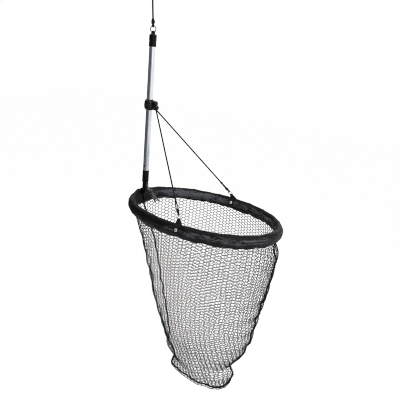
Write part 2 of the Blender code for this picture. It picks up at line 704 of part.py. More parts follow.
def hoop_turns():
    """The angle and the side of every corner of the hoop, from the foot round the near side and back."""
    return [(angle, NEAR) for angle in reversed(half_angles())] + [(angle, FAR) for angle in half_angles()]


def hoop_corners():
    """Every corner of the hoop's path, from the foot round the near side to the far end and back."""
    length, width = band_axes()
    return [Vector((HOOP_CENTRE + length * math.cos(angle), side * width * math.sin(angle), 0.0))
            for angle, side in hoop_turns()]


def mitre(before, here, after):
    """The outward direction that halves a corner, long enough to keep the band's width on both sides."""
    first = (here - before).normalized()
    second = (after - here).normalized()
    half = (first + second).normalized()
    return half.cross(UP) / half.dot(first)


def hoop_stations():
    """Each corner of the hoop with its outward direction."""
    corners = hoop_corners()
    count = len(corners)
    return [(corners[i], mitre(corners[i - 1], corners[i], corners[(i + 1) % count])) for i in range(count)]


def end_station(station, offset):
    """A station on the straight piece at one end of the hoop, a distance from the symmetry plane."""
    corner = station[0]
    outward = ALONG if corner.x > HOOP_CENTRE else -ALONG
    return Vector((corner.x, math.copysign(offset, corner.y), 0.0)), outward


def band_section(station, half_width, half_height, sides=BAND_SIDES):
    """An oval section of the band at a station."""
    corner, outward = station
    turns = [2.0 * math.pi * i / sides for i in range(sides)]
    return [corner + outward * half_width * math.cos(t) + UP * half_height * math.sin(t) for t in turns]


def hoop_frame(group):
    """The rod in two arms, the ferrule that joins them, the padding round each arm and the cloth sleeve."""
    stations = hoop_stations()
    half_count = len(stations) // 2
    halves = {"near": stations[:half_count], "far": stations[half_count:]}
    sleeve_outer = (BAND_WIDTH / 2.0, BAND_HEIGHT / 2.0)
    sleeve_inner = (sleeve_outer[0] - BAND_WALL, sleeve_outer[1] - BAND_WALL)
    foam_outer = (sleeve_inner[0] * FOAM_SLACK - GAP, sleeve_inner[1] * FOAM_SLACK - GAP)
    rod_radius = ROD_D / 2.0
    foam_bore = rod_radius + GAP
    for name, run in halves.items():
        ends = [end_station(run[0], ROD_END_GAP / 2.0), end_station(run[-1], ROD_END_GAP / 2.0)]
        line = [ends[0]] + run + [ends[1]]
        arm = loft([band_section(s, rod_radius, rod_radius, ROD_SIDES) for s in line])
        solid(name + "_frame_arm", arm, GLASS_ROD, group)
        outer = [band_section(s, *foam_outer, ROD_SIDES) for s in run]
        inner = [band_section(s, foam_bore, foam_bore, ROD_SIDES) for s in run]
        solid(name + "_hoop_foam", pipe(outer, inner), FOAM, group)
    lips = [end_station(stations[0], BAND_SLIT / 2.0), end_station(stations[-1], BAND_SLIT / 2.0)]
    line = [lips[0]] + stations + [lips[1]]
    outer = [band_section(s, *sleeve_outer) for s in line]
    inner = [band_section(s, *sleeve_inner) for s in line]
    solid("hoop_sleeve", pipe(outer, inner), BAND_CLOTH, group)

    bore = rod_radius + GAP
    half = SOCKET_LENGTH / 2.0
    shell = SOCKET_D / 2.0
    far_end = stations[half_count][0].x
    profile = both_ends([(shell, half - EDGE), (shell - EDGE, half), (bore, half)])
    solid("frame_joiner", lathe(profile, ROD_SIDES * 2), ALUMINIUM, group, (far_end, 0.0, 0.0), ACROSS)


def hinge_tongue(group):
    """The tongue: a cross socket on the rod's two ends and a flat arm with a hub that turns in the fork."""
    foot_end = hoop_corners()[0].x
    half = TONGUE_WIDTH / 2.0
    outline = link_outline((foot_end, 0.0), SOCKET_D * 0.42, (0.0, HOOP_DROP), TONGUE_R, 12)
    tongue = solid("hinge_tongue", prism(outline, -half, half), BLACK_PLASTIC, group)
    reach = SOCKET_LENGTH / 2.0
    socket = (foot_end, 0.0, 0.0)
    join(tongue, rod(SOCKET_D / 2.0, -reach, reach, BAND_SIDES), socket, ACROSS)
    cut(tongue, rod(ROD_D / 2.0 + GAP, -reach - PAST, reach + PAST, BAND_SIDES), socket, ACROSS)
    cut(tongue, rod(HINGE_PIN_D / 2.0 + GAP, -reach, reach), (0.0, 0.0, HOOP_DROP), ACROSS)


def tab_frame(side):
    """Where a tab stands on the band, the middle of the band there and the directions of its ring."""
    corners = hoop_corners()
    half_count = len(corners) // 2
    run = corners[:half_count] if side == NEAR else list(reversed(corners[half_count:]))
    middle = HOOP_STEPS // 2
    before = run[middle]
    after = run[middle + 1]
    seat = (before + after) / 2.0
    along = (after - before).normalized()
    top = seat + UP * (BAND_HEIGHT / 2.0 + GAP)
    knot = stay_knot_centre() + UP * (HINGE_DROP + HOOP_DROP)
    pull = knot - top
    rise = (pull - ALONG * pull.dot(ALONG)).normalized()
    lean = (rise * math.cos(TAB_LEAN) - ALONG * math.sin(TAB_LEAN)).normalized()
    return seat, along, top, lean, knot


def stay_ring_centre(side):
    """The middle of the ring in a tab's fold."""
    _, _, top, lean, _ = tab_frame(side)
    radius = (STAY_RING_D - STAY_RING_WIRE_D) / 2.0
    return top + lean * (TAB_NECK + radius)


def oval_ring(centre, first, second, half_first, half_second, steps=12):
    """Points of an oval in the plane of two unit vectors."""
    turns = [2.0 * math.pi * i / steps for i in range(steps)]
    return [centre + first * half_first * math.cos(t) + second * half_second * math.sin(t) for t in turns]


def hoop_tab(name, side, group):
    """A webbing tab: a wrap round the band and a pinched neck whose fold holds the stay's ring."""
    seat, along, top, lean, _ = tab_frame(side)
    outward = along.cross(UP).normalized()
    clear_width = BAND_WIDTH / 2.0 + GAP
    clear_height = BAND_HEIGHT / 2.0 + GAP
    ends = [seat - along * TAB_WIDTH / 2.0, seat + along * TAB_WIDTH / 2.0]
    over = (clear_width + TAB_THICKNESS, clear_height + TAB_THICKNESS)
    wrap = [oval_ring(end, outward, UP, *over) for end in ends]
    tab = solid(name + "_hoop_tab", loft(wrap), BLACK_WEBBING, group)

    cross = (ALONG - lean * ALONG.dot(lean)).normalized()
    thick = cross.cross(lean).normalized()
    fold = STAY_RING_WIRE_D / 2.0 + GAP + TAB_THICKNESS
    pinched = TAB_FOLD_WIDTH / 2.0
    rows = [(-TAB_NECK_ROOT, 0.0, TAB_WIDTH * 0.42, fold), (TAB_NECK * 0.3, 0.5, TAB_WIDTH * 0.3, fold),
            (TAB_NECK * 0.65, 1.0, pinched, fold * 0.9), (TAB_NECK, 1.0, pinched, fold),
            (TAB_NECK + fold * 0.7, 1.0, pinched * 0.97, fold * 0.8),
            (TAB_NECK + fold, 1.0, pinched * 0.9, fold * 0.45)]
    neck = []
    for height, turn, half_width, half_depth in rows:
        first = along.lerp(cross, turn).normalized()
        second = outward.lerp(thick, turn).normalized()
        neck.append(oval_ring(top + lean * height, first, second, half_width, half_depth))
    join(tab, loft(neck))

    room = [seat - along * (TAB_WIDTH + PAST), seat + along * (TAB_WIDTH + PAST)]
    cut(tab, loft([oval_ring(end, outward, UP, clear_width, clear_height) for end in room]))
    low = (seat.x - TAB_WIDTH, seat.y - BAND_WIDTH, -BAND_HEIGHT)
    high = (seat.x + TAB_WIDTH, seat.y + BAND_WIDTH, TAB_END_RISE - BAND_HEIGHT / 2.0)
    cut(tab, block(low, high))
    centre = stay_ring_centre(side)
    outer_d = STAY_RING_D + 2.0 * GAP
    cut(tab, hoop_ring(centre, cross, lean, outer_d, STAY_RING_WIRE_D + 2.0 * GAP))
    solid(name + "_stay_ring", hoop_ring(centre, cross, lean, STAY_RING_D, STAY_RING_WIRE_D), STEEL, group)


def tab_eyelets(name, side, group):
    """The bright eyelets that clench the tab to the band, one on each face."""
    seat, along, _, _, _ = tab_frame(side)
    outward = along.cross(UP).normalized()
    if outward.y * side < 0.0:
        outward = -outward
    over = (BAND_WIDTH / 2.0 + GAP + TAB_THICKNESS, BAND_HEIGHT / 2.0 + GAP + TAB_THICKNESS)
    rim = EYELET_D / 2.0
    hole = rim * 0.4
    top = EYELET_THICKNESS
    profile = [(hole, 0.0), (rim, 0.0), (rim, top * 0.5), (rim * 0.8, top), (hole * 1.3, top),
               (hole, top * 0.6)]
    for face, way in (("outer", outward), ("inner", -outward)):
        low, high = oval_ring(seat, way, UP, *over)[:2]
        slope = (high - low).normalized()
        heading = way * slope.dot(UP) - UP * slope.dot(way)
        spot = low.lerp(high, EYELET_RISE / (high - low).dot(UP)) + heading * GAP
        solid(name + "_" + face + "_eyelet", lathe(profile, 10), STEEL, group, spot, facing(heading))


def stay(name, side, pole_group, hoop_group):
    """One stay: its bound eye round the tab's ring, and the taut cord from there up to the knot."""
    _, _, _, lean, knot = tab_frame(side)
    centre = stay_ring_centre(side)
    cross = (ALONG - lean * ALONG.dot(lean)).normalized()
    towards = (knot - centre).normalized()
    ring_radius = (STAY_RING_D - STAY_RING_WIRE_D) / 2.0
    hold = centre + towards * ring_radius
    normal = cross.cross(lean).normalized()
    cord_radius = STAY_D / 2.0
    loop_radius = STAY_RING_WIRE_D / 2.0 + GAP + cord_radius
    loop = ring_about(hold, towards, normal, loop_radius, 14)
    around = towards.cross(normal).normalized()
    eye = solid(name + "_stay_eye", loop_tube(loop, around, cord_radius), BLACK_CORD, hoop_group)
    thick = STAY_EYE_D / 2.0
    length = STAY_EYE_LENGTH
    wraps = [(1.1, 0.06), (1.1, 0.2), (0.8, 0.3), (1.0, 0.5), (1.0, 0.8)]
    sleeve = [(thick * width, length * height) for width, height in wraps]
    ends = ([(0.0, 0.0), (cord_radius, 0.0)], [(cord_radius * 1.2, length), (0.0, length)])
    foot = hold + towards * loop_radius
    join(eye, lathe(ends[0] + sleeve + ends[1], 12), foot, facing(towards))

    to_pole = -UP * (HINGE_DROP + HOOP_DROP)
    start = knot - towards * (STAY_KNOT_D / 2.0 + GAP) + to_pole
    end = foot + towards * (length + GAP) + to_pole
    cord(name + "_stay_cord", straight(start, end, 16), STAY_D, BLACK_CORD, pole_group)


def ribbon(group):
    """A short ribbon tied inside the band near the foot, with two tails that hang down the net."""
    length, width = band_axes()
    arc = math.hypot(length * math.sin(RIBBON_ANGLE), width * math.cos(RIBBON_ANGLE))
    reach = BAND_WIDTH / 2.0 + GAP * 2.0 + RIBBON_THICKNESS
    made = None
    for tail in RIBBON_TAILS:
        line = smooth(tail, 2)
        rings = []
        for i, knot in enumerate(line):
            angle = RIBBON_ANGLE - knot.x / arc
            spot = Vector((HOOP_CENTRE + length * math.cos(angle), width * math.sin(angle), knot.y))
            heading = Vector((length * math.sin(angle), -width * math.cos(angle), 0.0)).normalized()
            inward = Vector((heading.y, -heading.x, 0.0))
            run = (line[min(i + 1, len(line) - 1)] - line[max(i - 1, 0)]).normalized()
            down = heading * run.x + UP * run.y
            side = inward.cross(down).normalized() * RIBBON_WIDTH / 2.0
            thick = inward * RIBBON_THICKNESS / 2.0
            middle = spot + inward * reach
            face = [middle + side + thick, middle - side + thick]
            rings.append(face + [middle - side - thick, middle + side - thick])
        if made is None:
            made = solid("band_ribbon", loft(rings), OLIVE_RIBBON, group)
        else:
            join(made, loft(rings))


def bag_levels():
    """Smooth levels down the bag as (depth, foot side, far side, half width)."""
    length, width = band_axes()
    rows = [(BAND_HEIGHT / 2.0 + GAP, HOOP_CENTRE - length, HOOP_CENTRE + length, width)]
    for share, foot_side, far_side, breadth in BAG_OUTLINE:
        rows.append((NET_DEPTH * share, HOOP_CENTRE + length * foot_side, HOOP_CENTRE + length * far_side,
                     width * breadth))
    corners = [HOOP_CENTRE + length * share for share in BAG_CORNERS]
    rows.append((NET_DEPTH, *corners, NET_KEEL))
    return smooth_rows(rows, NET_LEVELS)


def smooth_rows(rows, count):
    """Rows at even depths on the smooth curve through the given rows."""
    def slope(i, k):
        low = max(i - 1, 0)
        high = min(i + 1, len(rows) - 1)
        return (rows[high][k] - rows[low][k]) / (rows[high][0] - rows[low][0])
    made = []
    for step in range(count + 1):
        depth = rows[0][0] + (rows[-1][0] - rows[0][0]) * step / count
        i = max(k for k in range(len(rows) - 1) if rows[k][0] <= depth + 1e-9)
        span = rows[i + 1][0] - rows[i][0]
        t = (depth - rows[i][0]) / span
        row = [depth]
        for k in range(1, len(rows[0])):
            across = 3.0 * t ** 2 - 2.0 * t ** 3
            between = (1.0 - across) * rows[i][k] + across * rows[i + 1][k]
            leaving = (t ** 3 - 2.0 * t ** 2 + t) * slope(i, k)
            arriving = (t ** 3 - t ** 2) * slope(i + 1, k)
            row.append(between + span * (leaving + arriving))
        made.append(row)
    return made


def bag_turns():
    """The angle and the side of every strand down the bag, from the foot round the near side and back."""
    step = math.pi / NET_COLUMNS
    near = [(math.pi - step * i, NEAR) for i in range(NET_COLUMNS + 1)]
    return near + [(step * i, FAR) for i in range(1, NET_COLUMNS)]


def bag_ring(row, inset):
    """One ring of the bag. The lowest rings sag, so the bottom seam hangs in a shallow curve."""
    depth, foot_side, far_side, half_width = row
    centre = (foot_side + far_side) / 2.0
    length = (far_side - foot_side) / 2.0 - inset * 2.0
    width = half_width - inset
    share = (depth / NET_DEPTH) ** 8
    lift = inset * share * 2.0
    ring = []
    for angle, side in bag_turns():
        sag = NET_BELLY * share * math.sin(angle) ** 2
        x = centre + length * math.cos(angle)
        y = side * width * math.sin(angle)
        ring.append(Vector((x, y, lift - depth - sag)))
    return ring


def mesh_opening(corners):
    """Corners of the opening in one mesh of the net, half a strand in from each side."""
    made = []
    for k, corner in enumerate(corners):
        ahead = (corners[(k + 1) % len(corners)] - corner).normalized()
        behind = (corners[k - 1] - corner).normalized()
        made.append(corner + (ahead + behind) * NET_STRAND / 2.0)
    return made


def net_bag(group):
    """The net as an open grid of strands, open at the hoop and drawn together along a seam at the bottom."""
    levels = bag_levels()
    places = [bag_ring(row, 0.0) for row in levels]
    shape = bmesh.new()
    knots = [[shape.verts.new(point) for point in ring] for ring in places]
    ridges = [[shape.verts.new(point) for point in bag_ring(row, NET_STRAND_DEPTH)] for row in levels]
    count = len(knots[0])
    for level in range(len(levels) - 1):
        for i in range(count):
            j = (i + 1) % count
            corners = [(level, i), (level + 1, i), (level + 1, j), (level, j)]
            opening = mesh_opening([places[row][column] for row, column in corners])
            rim = [shape.verts.new(point) for point in opening]
            outer = [knots[row][column] for row, column in corners]
            inner = [ridges[row][column] for row, column in corners]
            for k in range(4):
                m = (k + 1) % 4
                shape.faces.new((outer[k], outer[m], rim[m], rim[k]))
                shape.faces.new((rim[k], rim[m], inner[m], inner[k]))
    for i in range(count):
        j = (i + 1) % count
        shape.faces.new((knots[0][i], knots[0][j], ridges[0][j], ridges[0][i]))
    for i in range(NET_COLUMNS):
        across = [i + 1, i, (count - i) % count, count - 1 - i]
        keel = list(dict.fromkeys(across))
        shape.faces.new([knots[-1][k] for k in keel])
        shape.faces.new([ridges[-1][k] for k in reversed(keel)])
    solid("net_bag", shape, NET_CORD, group, crease=60.0)


def net_seam(group):
    """The seam cord down the foot side of the bag, along its bottom and up the far side."""
    # The sides slant, so the cord stands off by two clearances to keep one
    off = SEAM_D / 2.0 + 2.0 * GAP
    levels = bag_levels()
    rings = [bag_ring(row, 0.0) for row in levels]
    half_count = len(rings[0]) // 2
    down = [Vector((ring[0].x - off, 0.0, ring[0].z)) for ring in rings]
    up = [Vector((ring[half_count].x + off, 0.0, ring[half_count].z)) for ring in reversed(rings)]
    keel = [Vector((point.x, 0.0, point.z - off)) for point in rings[-1][1:half_count]]
    drop = Vector((0.0, 0.0, off * 0.8))
    line = down[:-1] + [down[-1] - drop] + keel + [up[0] - drop] + up[1:]
    line[0].z -= off
    line[-1].z -= off
    cord("net_seam_cord", line, SEAM_D, BLACK_CORD, group, roundness=1)


rope_group = empty("rope_line", (0.0, 0.0, 0.0), rotation=(0.0, -ROPE_LEAN, 0.0))
pole_group = empty("pole", (0.0, 0.0, 0.0))
fold_group = empty("hoop", (0.0, 0.0, -HINGE_DROP), pole_group)
hoop_group = empty("hoop_plane", (0.0, 0.0, -HOOP_DROP), fold_group)
lever_group = empty("lever", (LEVER_FORWARD, 0.0, LEVER_RISE - HINGE_DROP), pole_group)

rope_and_ring(rope_group)
pole_cap(pole_group)
pole_tube(pole_group)
pole_foot(pole_group)
hinge_hardware(pole_group)
lever_hardware(pole_group, lever_group)
stay_collar(pole_group)
stay_knot(pole_group)
hoop_frame(hoop_group)
hinge_tongue(hoop_group)
for side_name, side_sign in SIDES.items():
    hoop_tab(side_name, side_sign, hoop_group)
    tab_eyelets(side_name, side_sign, hoop_group)
    stay(side_name, side_sign, pole_group, hoop_group)
ribbon(hoop_group)
net_bag(hoop_group)
net_seam(hoop_group)
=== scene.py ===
"""Looks of the drop net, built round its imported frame.

Sizes are in metres, in the frame of the CAD: the origin is where the hanging ring bears in the cap's eye, +Z
runs up the pole and +X towards the far end of the hoop. Near is -Y and far is +Y.
"""
from __future__ import annotations

import logging
import math
from dataclasses import dataclass
from enum import Enum
from functools import cache
from typing import Any, Callable, Iterable, Sequence

import bmesh
import bpy
import numpy as np
from mathutils import Matrix, Vector, noise


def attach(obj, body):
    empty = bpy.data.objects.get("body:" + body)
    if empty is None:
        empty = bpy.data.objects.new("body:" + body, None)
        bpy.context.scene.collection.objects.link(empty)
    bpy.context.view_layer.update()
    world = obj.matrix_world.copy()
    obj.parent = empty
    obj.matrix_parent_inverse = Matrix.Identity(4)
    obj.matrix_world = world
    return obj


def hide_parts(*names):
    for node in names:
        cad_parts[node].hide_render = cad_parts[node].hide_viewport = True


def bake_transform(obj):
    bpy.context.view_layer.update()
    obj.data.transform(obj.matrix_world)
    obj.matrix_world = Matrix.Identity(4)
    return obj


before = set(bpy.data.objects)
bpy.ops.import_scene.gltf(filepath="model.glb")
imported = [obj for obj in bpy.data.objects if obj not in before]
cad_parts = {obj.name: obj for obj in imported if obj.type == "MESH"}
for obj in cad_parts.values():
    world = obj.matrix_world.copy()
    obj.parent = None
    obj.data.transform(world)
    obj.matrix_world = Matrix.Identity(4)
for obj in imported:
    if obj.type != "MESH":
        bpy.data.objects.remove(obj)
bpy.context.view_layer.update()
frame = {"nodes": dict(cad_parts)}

logging.basicConfig(level=logging.INFO, format="%(message)s")
log = logging.getLogger("drop_net")

MM = 0.001
UP = Vector((0.0, 0.0, 1.0))
ALONG = Vector((1.0, 0.0, 0.0))
OVER = Vector((0.0, 1.0, 0.0))
TOWARDS_NEAR = Vector((0.0, -1.0, 0.0))
TURN = 2.0 * math.pi

# Running clearance that the CAD leaves between two pieces
GAP = 0.3 * MM
# Sizes that several sub-assemblies share: drops are from the origin, the lever's pin is from the hinge's
HINGE_DROP = 572.0 * MM
HOOP_LEVEL = -600.0 * MM
FORK_WIDTH = 17.0 * MM
LEVER_PIN = (6.5 * MM, 21.0 * MM)
BAND_HALF = (12.5 * MM, 21.0 * MM)
RING_WIRE = 2.2 * MM
STAY_D = 3.6 * MM
EAR_HOLE = (31.0 * MM, -4.0 * MM)
COLLAR_DROP = 248.0 * MM
LOOP_DROP = 9.5 * MM
# Bends past which an edge is shaded sharp on a plain shape and on an eased one, and past which it is eased
SHARP_BEND, EASED_BEND, EASE_LIMIT = math.radians(40.0), math.radians(48.0), math.radians(32.0)

Point = tuple[float, float]
Profile = list[Point]
Relief = Callable[[np.ndarray, np.ndarray], np.ndarray]
Piece = bpy.types.Object
Tree = bpy.types.NodeTree
Node = bpy.types.Node
Source = Node | bpy.types.NodeSocket


class Body(Enum):
    """The moving groups of the frame."""

    ROPE = "rope_line"
    POLE = "pole"
    HOOP = "hoop"
    LEVER = "lever"


class Side(Enum):
    """The two sides of the plane of symmetry."""

    NEAR = -1
    FAR = 1

    @property
    def label(self) -> str:
        """The side's name as the CAD nodes have it."""
        return self.name.lower()


# Shape tools


def basis(axis: Vector) -> tuple[Vector, Vector, Vector]:
    """Three unit vectors at right angles, the last along the axis."""
    along = axis.normalized()
    first = along.orthogonal().normalized()
    return first, along.cross(first), along


def circle(centre: Vector, first: Vector, second: Vector, radius: float, steps: int) -> list[Vector]:
    """Points of a circle in the plane of two unit vectors."""
    turns = [TURN * i / steps for i in range(steps)]
    return [centre + (first * math.cos(t) + second * math.sin(t)) * radius for t in turns]


def oval(centre: Vector, first: Vector, second: Vector, steps: int) -> list[Vector]:
    """Points of an oval from its centre and its two half axes."""
    turns = [TURN * i / steps for i in range(steps)]
    return [centre + first * math.cos(t) + second * math.sin(t) for t in turns]


def smooth(points: Sequence[Sequence[float]], spans: int) -> list[Vector]:
    """A smooth curve through points of any dimension.

    Args:
        points: the points that the curve goes through.
        spans: steps between two neighbouring points.

    Returns:
        The points of the curve, ends included.
    """
    knots = [Vector(point) for point in points]
    ahead = [knots[0] * 2.0 - knots[1]] + knots + [knots[-1] * 2.0 - knots[-2]]
    curve = []
    for a, b, c, d in zip(ahead, ahead[1:], ahead[2:], ahead[3:]):
        for i in range(spans):
            t = i / spans
            bend = (2.0 * a - 5.0 * b + 4.0 * c - d) * t * t + (3.0 * b - a - 3.0 * c + d) * t * t * t
            curve.append((2.0 * b + (c - a) * t + bend) * 0.5)
    curve.append(knots[-1])
    return curve


def softened(profile: Profile, reach: float, steps: int = 3, closed: bool = False) -> Profile:
    """A profile with its corners rounded off.

    Args:
        profile: points of (radius, height).
        reach: how far from a corner its rounding starts.
        steps: pieces in each rounding.
        closed: whether the last point joins the first.

    Returns:
        The rounded profile.
    """
    knots = [Vector(point) for point in profile]
    count = len(knots)
    made: list[Vector] = []
    for i, knot in enumerate(knots):
        before, after = knots[i - 1] - knot, knots[(i + 1) % count] - knot
        open_end = not closed and i in (0, count - 1)
        if open_end or not before.length or not after.length or before.angle(after) > math.radians(165.0):
            made.append(knot)
            continue
        start = knot + before.normalized() * min(reach, before.length * 0.45)
        end = knot + after.normalized() * min(reach, after.length * 0.45)
        for k in range(steps + 1):
            t = k / steps
            made.append(start * (1.0 - t) ** 2 + knot * 2.0 * t * (1.0 - t) + end * t * t)
    return [(point.x, point.y) for point in made]


def both_ends(upper: Profile) -> Profile:
    """A profile that is the same at both ends, from its upper half."""
    return [(radius, -height) for radius, height in reversed(upper)] + upper


def new_piece(name: str, data: bpy.types.ID) -> Piece:
    """An object at the origin with that mesh, camera or lamp."""
    piece = bpy.data.objects.new(name, data)
    bpy.context.scene.collection.objects.link(piece)
    return piece


def skin(name: str, rings: np.ndarray, loop: bool = False, caps: bool = True, sharp: bool = False) -> Piece:
    """A surface through rings of points.

    Args:
        name: name of the piece.
        rings: array of rings by points by 3, each ring anticlockwise about the way that the rings run.
        loop: whether the last ring joins the first.
        caps: whether a flat face closes each end.
        sharp: whether its corners are shaded sharp.

    Returns:
        The piece, with a UV map "run" in metres: along the rings, then round them.
    """
    count, sides = rings.shape[:2]
    spans = count if loop else count - 1
    i, j = (grid.ravel() for grid in np.meshgrid(np.arange(spans), np.arange(sides), indexing="ij"))
    nxt, over = (i + 1) % count, (j + 1) % sides
    quads = np.stack([i * sides + j, i * sides + over, nxt * sides + over, nxt * sides + j], 1)
    faces = quads.tolist()
    if caps and not loop:
        faces += [list(range(sides))[::-1], [(count - 1) * sides + k for k in range(sides)]]
    mesh = bpy.data.meshes.new(name)
    mesh.from_pydata(rings.reshape(-1, 3).tolist(), [], faces)
    centres = rings.mean(1)
    steps = np.linalg.norm(np.diff(centres, axis=0, append=centres[:1]), axis=1)
    along = np.concatenate([[0.0], np.cumsum(steps)])
    girth = np.linalg.norm(np.roll(rings, -1, 1) - rings, axis=2).mean(0)
    around = np.concatenate([[0.0], np.cumsum(girth)])
    u = np.stack([along[i], along[i], along[i + 1], along[i + 1]], 1)
    v = np.stack([around[j], around[j + 1], around[j + 1], around[j]], 1)
    coords = np.zeros((len(mesh.loops), 2))
    coords[:quads.size] = np.stack([u.ravel(), v.ravel()], 1)
    mesh.uv_layers.new(name="run").data.foreach_set("uv", coords.ravel())
    mesh.shade_smooth()
    if sharp:
        mesh.set_sharp_from_angle(angle=SHARP_BEND)
    return new_piece(name, mesh)


def carried_frames(path: np.ndarray, closed: bool) -> tuple[np.ndarray, np.ndarray, np.ndarray]:
    """Directions along and square to a path, carried along it without twist.

    Args:
        path: the points of the path.
        closed: whether it is a loop, so that the last normal has to meet the first.

    Returns:
        Heading, normal and binormal at each point.
    """
    if closed:
        heading = np.roll(path, -1, 0) - np.roll(path, 1, 0)
    else:
        heading = np.gradient(path, axis=0)
    heading /= np.linalg.norm(heading, axis=1)[:, None]
    normal = np.empty_like(path)
    normal[0] = Vector(heading[0]).orthogonal().normalized()
    for i in range(1, len(path)):
        carried = normal[i - 1] - heading[i] * normal[i - 1].dot(heading[i])
        normal[i] = carried / np.linalg.norm(carried)
    if closed:
        last = Vector(normal[-1] - heading[0] * normal[-1].dot(heading[0])).normalized()
        first, axis = Vector(normal[0]), Vector(heading[0])
        twist = math.atan2(axis.dot(last.cross(first)), last.dot(first))
        for i in range(len(path)):
            turn = Matrix.Rotation(twist * i / len(path), 3, Vector(heading[i]))
            normal[i] = turn @ Vector(normal[i])
    return heading, normal, np.cross(heading, normal)


def tube(name: str, path: Sequence[Vector], diameter: float | np.ndarray, sides: int = 16,
         closed: bool = False,
         relief: Relief | None = None) -> Piece:
    """A tube along a path.

    Args:
        name: name of the piece.
        path: its centre line.
        diameter: one value, or one for each point.
        sides: faces round it.
        closed: whether the path is a loop.
        relief: extra radius from (run in metres, angle), for the lay of a cord.

    Returns:
        The tube, with domed ends unless it is a loop.
    """
    line = np.array([tuple(point) for point in path])
    heading, normal, binormal = carried_frames(line, closed)
    run = np.cumsum(np.linalg.norm(np.diff(line, axis=0, prepend=line[:1]), axis=1))[:, None]
    angle = np.linspace(0.0, TURN, sides, endpoint=False)[None, :]
    radius = np.broadcast_to(np.asarray(diameter, float).reshape(-1, 1) / 2.0, (len(line), 1))
    reach = radius + (relief(run, angle) if relief else np.zeros_like(angle))
    around = normal[:, None, :] * np.cos(angle)[..., None] + binormal[:, None, :] * np.sin(angle)[..., None]
    rings = line[:, None, :] + around * reach[..., None]
    if not closed:
        domes = [[line[end] + (rings[end] - line[end]) * shrink + heading[end] * sign * radius[end] * rise
                  for shrink, rise in ((0.8, 0.4), (0.4, 0.62))] for end, sign in ((0, -1.0), (-1, 1.0))]
        rings = np.concatenate([domes[0][::-1], rings, domes[1]])
    return skin(name, rings, loop=closed)


def turned(name: str, profile: Profile, axis: Vector, at: Vector, steps: int, loop: bool = False) -> Piece:
    """A shape turned about an axis.

    Args:
        name: name of the piece.
        profile: points of (radius, height along the axis), going up the outside.
        axis: the way that height runs.
        at: where height is zero.
        steps: faces round it.
        loop: whether the profile closes on itself, as a washer's does.

    Returns:
        The turned piece.
    """
    first, second, along = basis(axis)
    rings = [[tuple(p + along * height) for p in circle(at, first, second, max(radius, 0.02 * MM), steps)]
             for radius, height in profile]
    return outwards(skin(name, np.array(rings), loop=loop, sharp=True))


def outwards(piece: Piece) -> Piece:
    """The piece with all its faces pointing outwards."""
    shape = bmesh.new()
    shape.from_mesh(piece.data)
    bmesh.ops.recalc_face_normals(shape, faces=shape.faces)
    shape.to_mesh(piece.data)
    shape.free()
    return piece


def slab(name: str, outline: Profile, low: float, high: float, at: Vector = Vector(),
         flat: tuple[Vector, Vector] = (ALONG, UP)) -> Piece:
    """An outline given a thickness.

    Args:
        name: name of the piece.
        outline: its points along the two flat directions.
        low: where the thickness starts.
        high: where it ends.
        at: the place that all of these count from.
        flat: the two directions that the outline is drawn in.

    Returns:
        The slab.
    """
    out = flat[0].cross(flat[1])
    rings = [[tuple(at + flat[0] * x + flat[1] * y + out * depth) for x, y in outline]
             for depth in (low, high)]
    return outwards(skin(name, np.array(rings), sharp=True))


def bake(piece: Piece) -> Piece:
    """What the modifiers of a piece make, as its own mesh."""
    made = bpy.data.meshes.new_from_object(piece.evaluated_get(bpy.context.evaluated_depsgraph_get()))
    piece.modifiers.clear()
    piece.data = made
    return piece


def carve(piece: Piece, tools: Iterable[Piece], operation: str) -> Piece:
    """Cut tools out of a piece, or join them to it, with exact Booleans.

    Args:
        piece: what is changed.
        tools: the shapes to do it with, used up in order.
        operation: the Boolean's name.

    Returns:
        The changed piece.
    """
    for tool in tools:
        change = piece.modifiers.new("carve", "BOOLEAN")
        change.operation = operation
        change.solver = "EXACT"
        change.object = tool
        bake(piece)
        bpy.data.objects.remove(tool)
    return piece


def eased(piece: Piece, width: float, segments: int = 2) -> Piece:
    """Round a piece's sharp edges, as a mould or a tumbler leaves them.

    Args:
        piece: the piece with its corners.
        width: how far a rounding reaches.
        segments: faces across it.

    Returns:
        The same piece, eased.
    """
    piece.modifiers.new("weld", "WELD").merge_threshold = 0.01 * MM
    edge = piece.modifiers.new("ease", "BEVEL")
    edge.width = width
    edge.segments = segments
    edge.limit_method = "ANGLE"
    edge.angle_limit = EASE_LIMIT
    bake(piece)
    piece.data.shade_smooth()
    piece.data.set_sharp_from_angle(angle=EASED_BEND)
    return piece


def merged(name: str, parts: Sequence[Piece]) -> Piece:
    """Several shapes as one piece of that name."""
    shape = bmesh.new()
    for part in parts:
        shape.from_mesh(part.data)
        bpy.data.objects.remove(part)
    mesh = bpy.data.meshes.new(name)
    shape.to_mesh(mesh)
    shape.free()
    return new_piece(name, mesh)


def arc(centre: Point, radius: float, start: float, end: float, steps: int) -> Profile:
    """Points of an arc from one angle to another, both included."""
    turns = [start + (end - start) * i / steps for i in range(steps + 1)]
    return [(centre[0] + radius * math.cos(t), centre[1] + radius * math.sin(t)) for t in turns]


def hexagon(corner: float) -> Profile:
    """The corners of a hexagon at that distance from its middle."""
    return [(corner * math.cos(TURN * i / 6), corner * math.sin(TURN * i / 6)) for i in range(6)]


def link_outline(first: Point, first_r: float, second: Point, second_r: float, steps: int) -> Profile:
    """Outline of a flat link: two circles and their outer tangents.

    Args:
        first: centre of one circle.
        first_r: its radius.
        second: centre of the other.
        second_r: its radius.
        steps: pieces in each arc.

    Returns:
        The outline.
    """
    between = Vector(second) - Vector(first)
    heading = math.atan2(between.y, between.x)
    spread = math.acos((first_r - second_r) / between.length)
    return (arc(second, second_r, heading - spread, heading + spread, steps)
            + arc(first, first_r, heading + spread, heading + TURN - spread, steps))


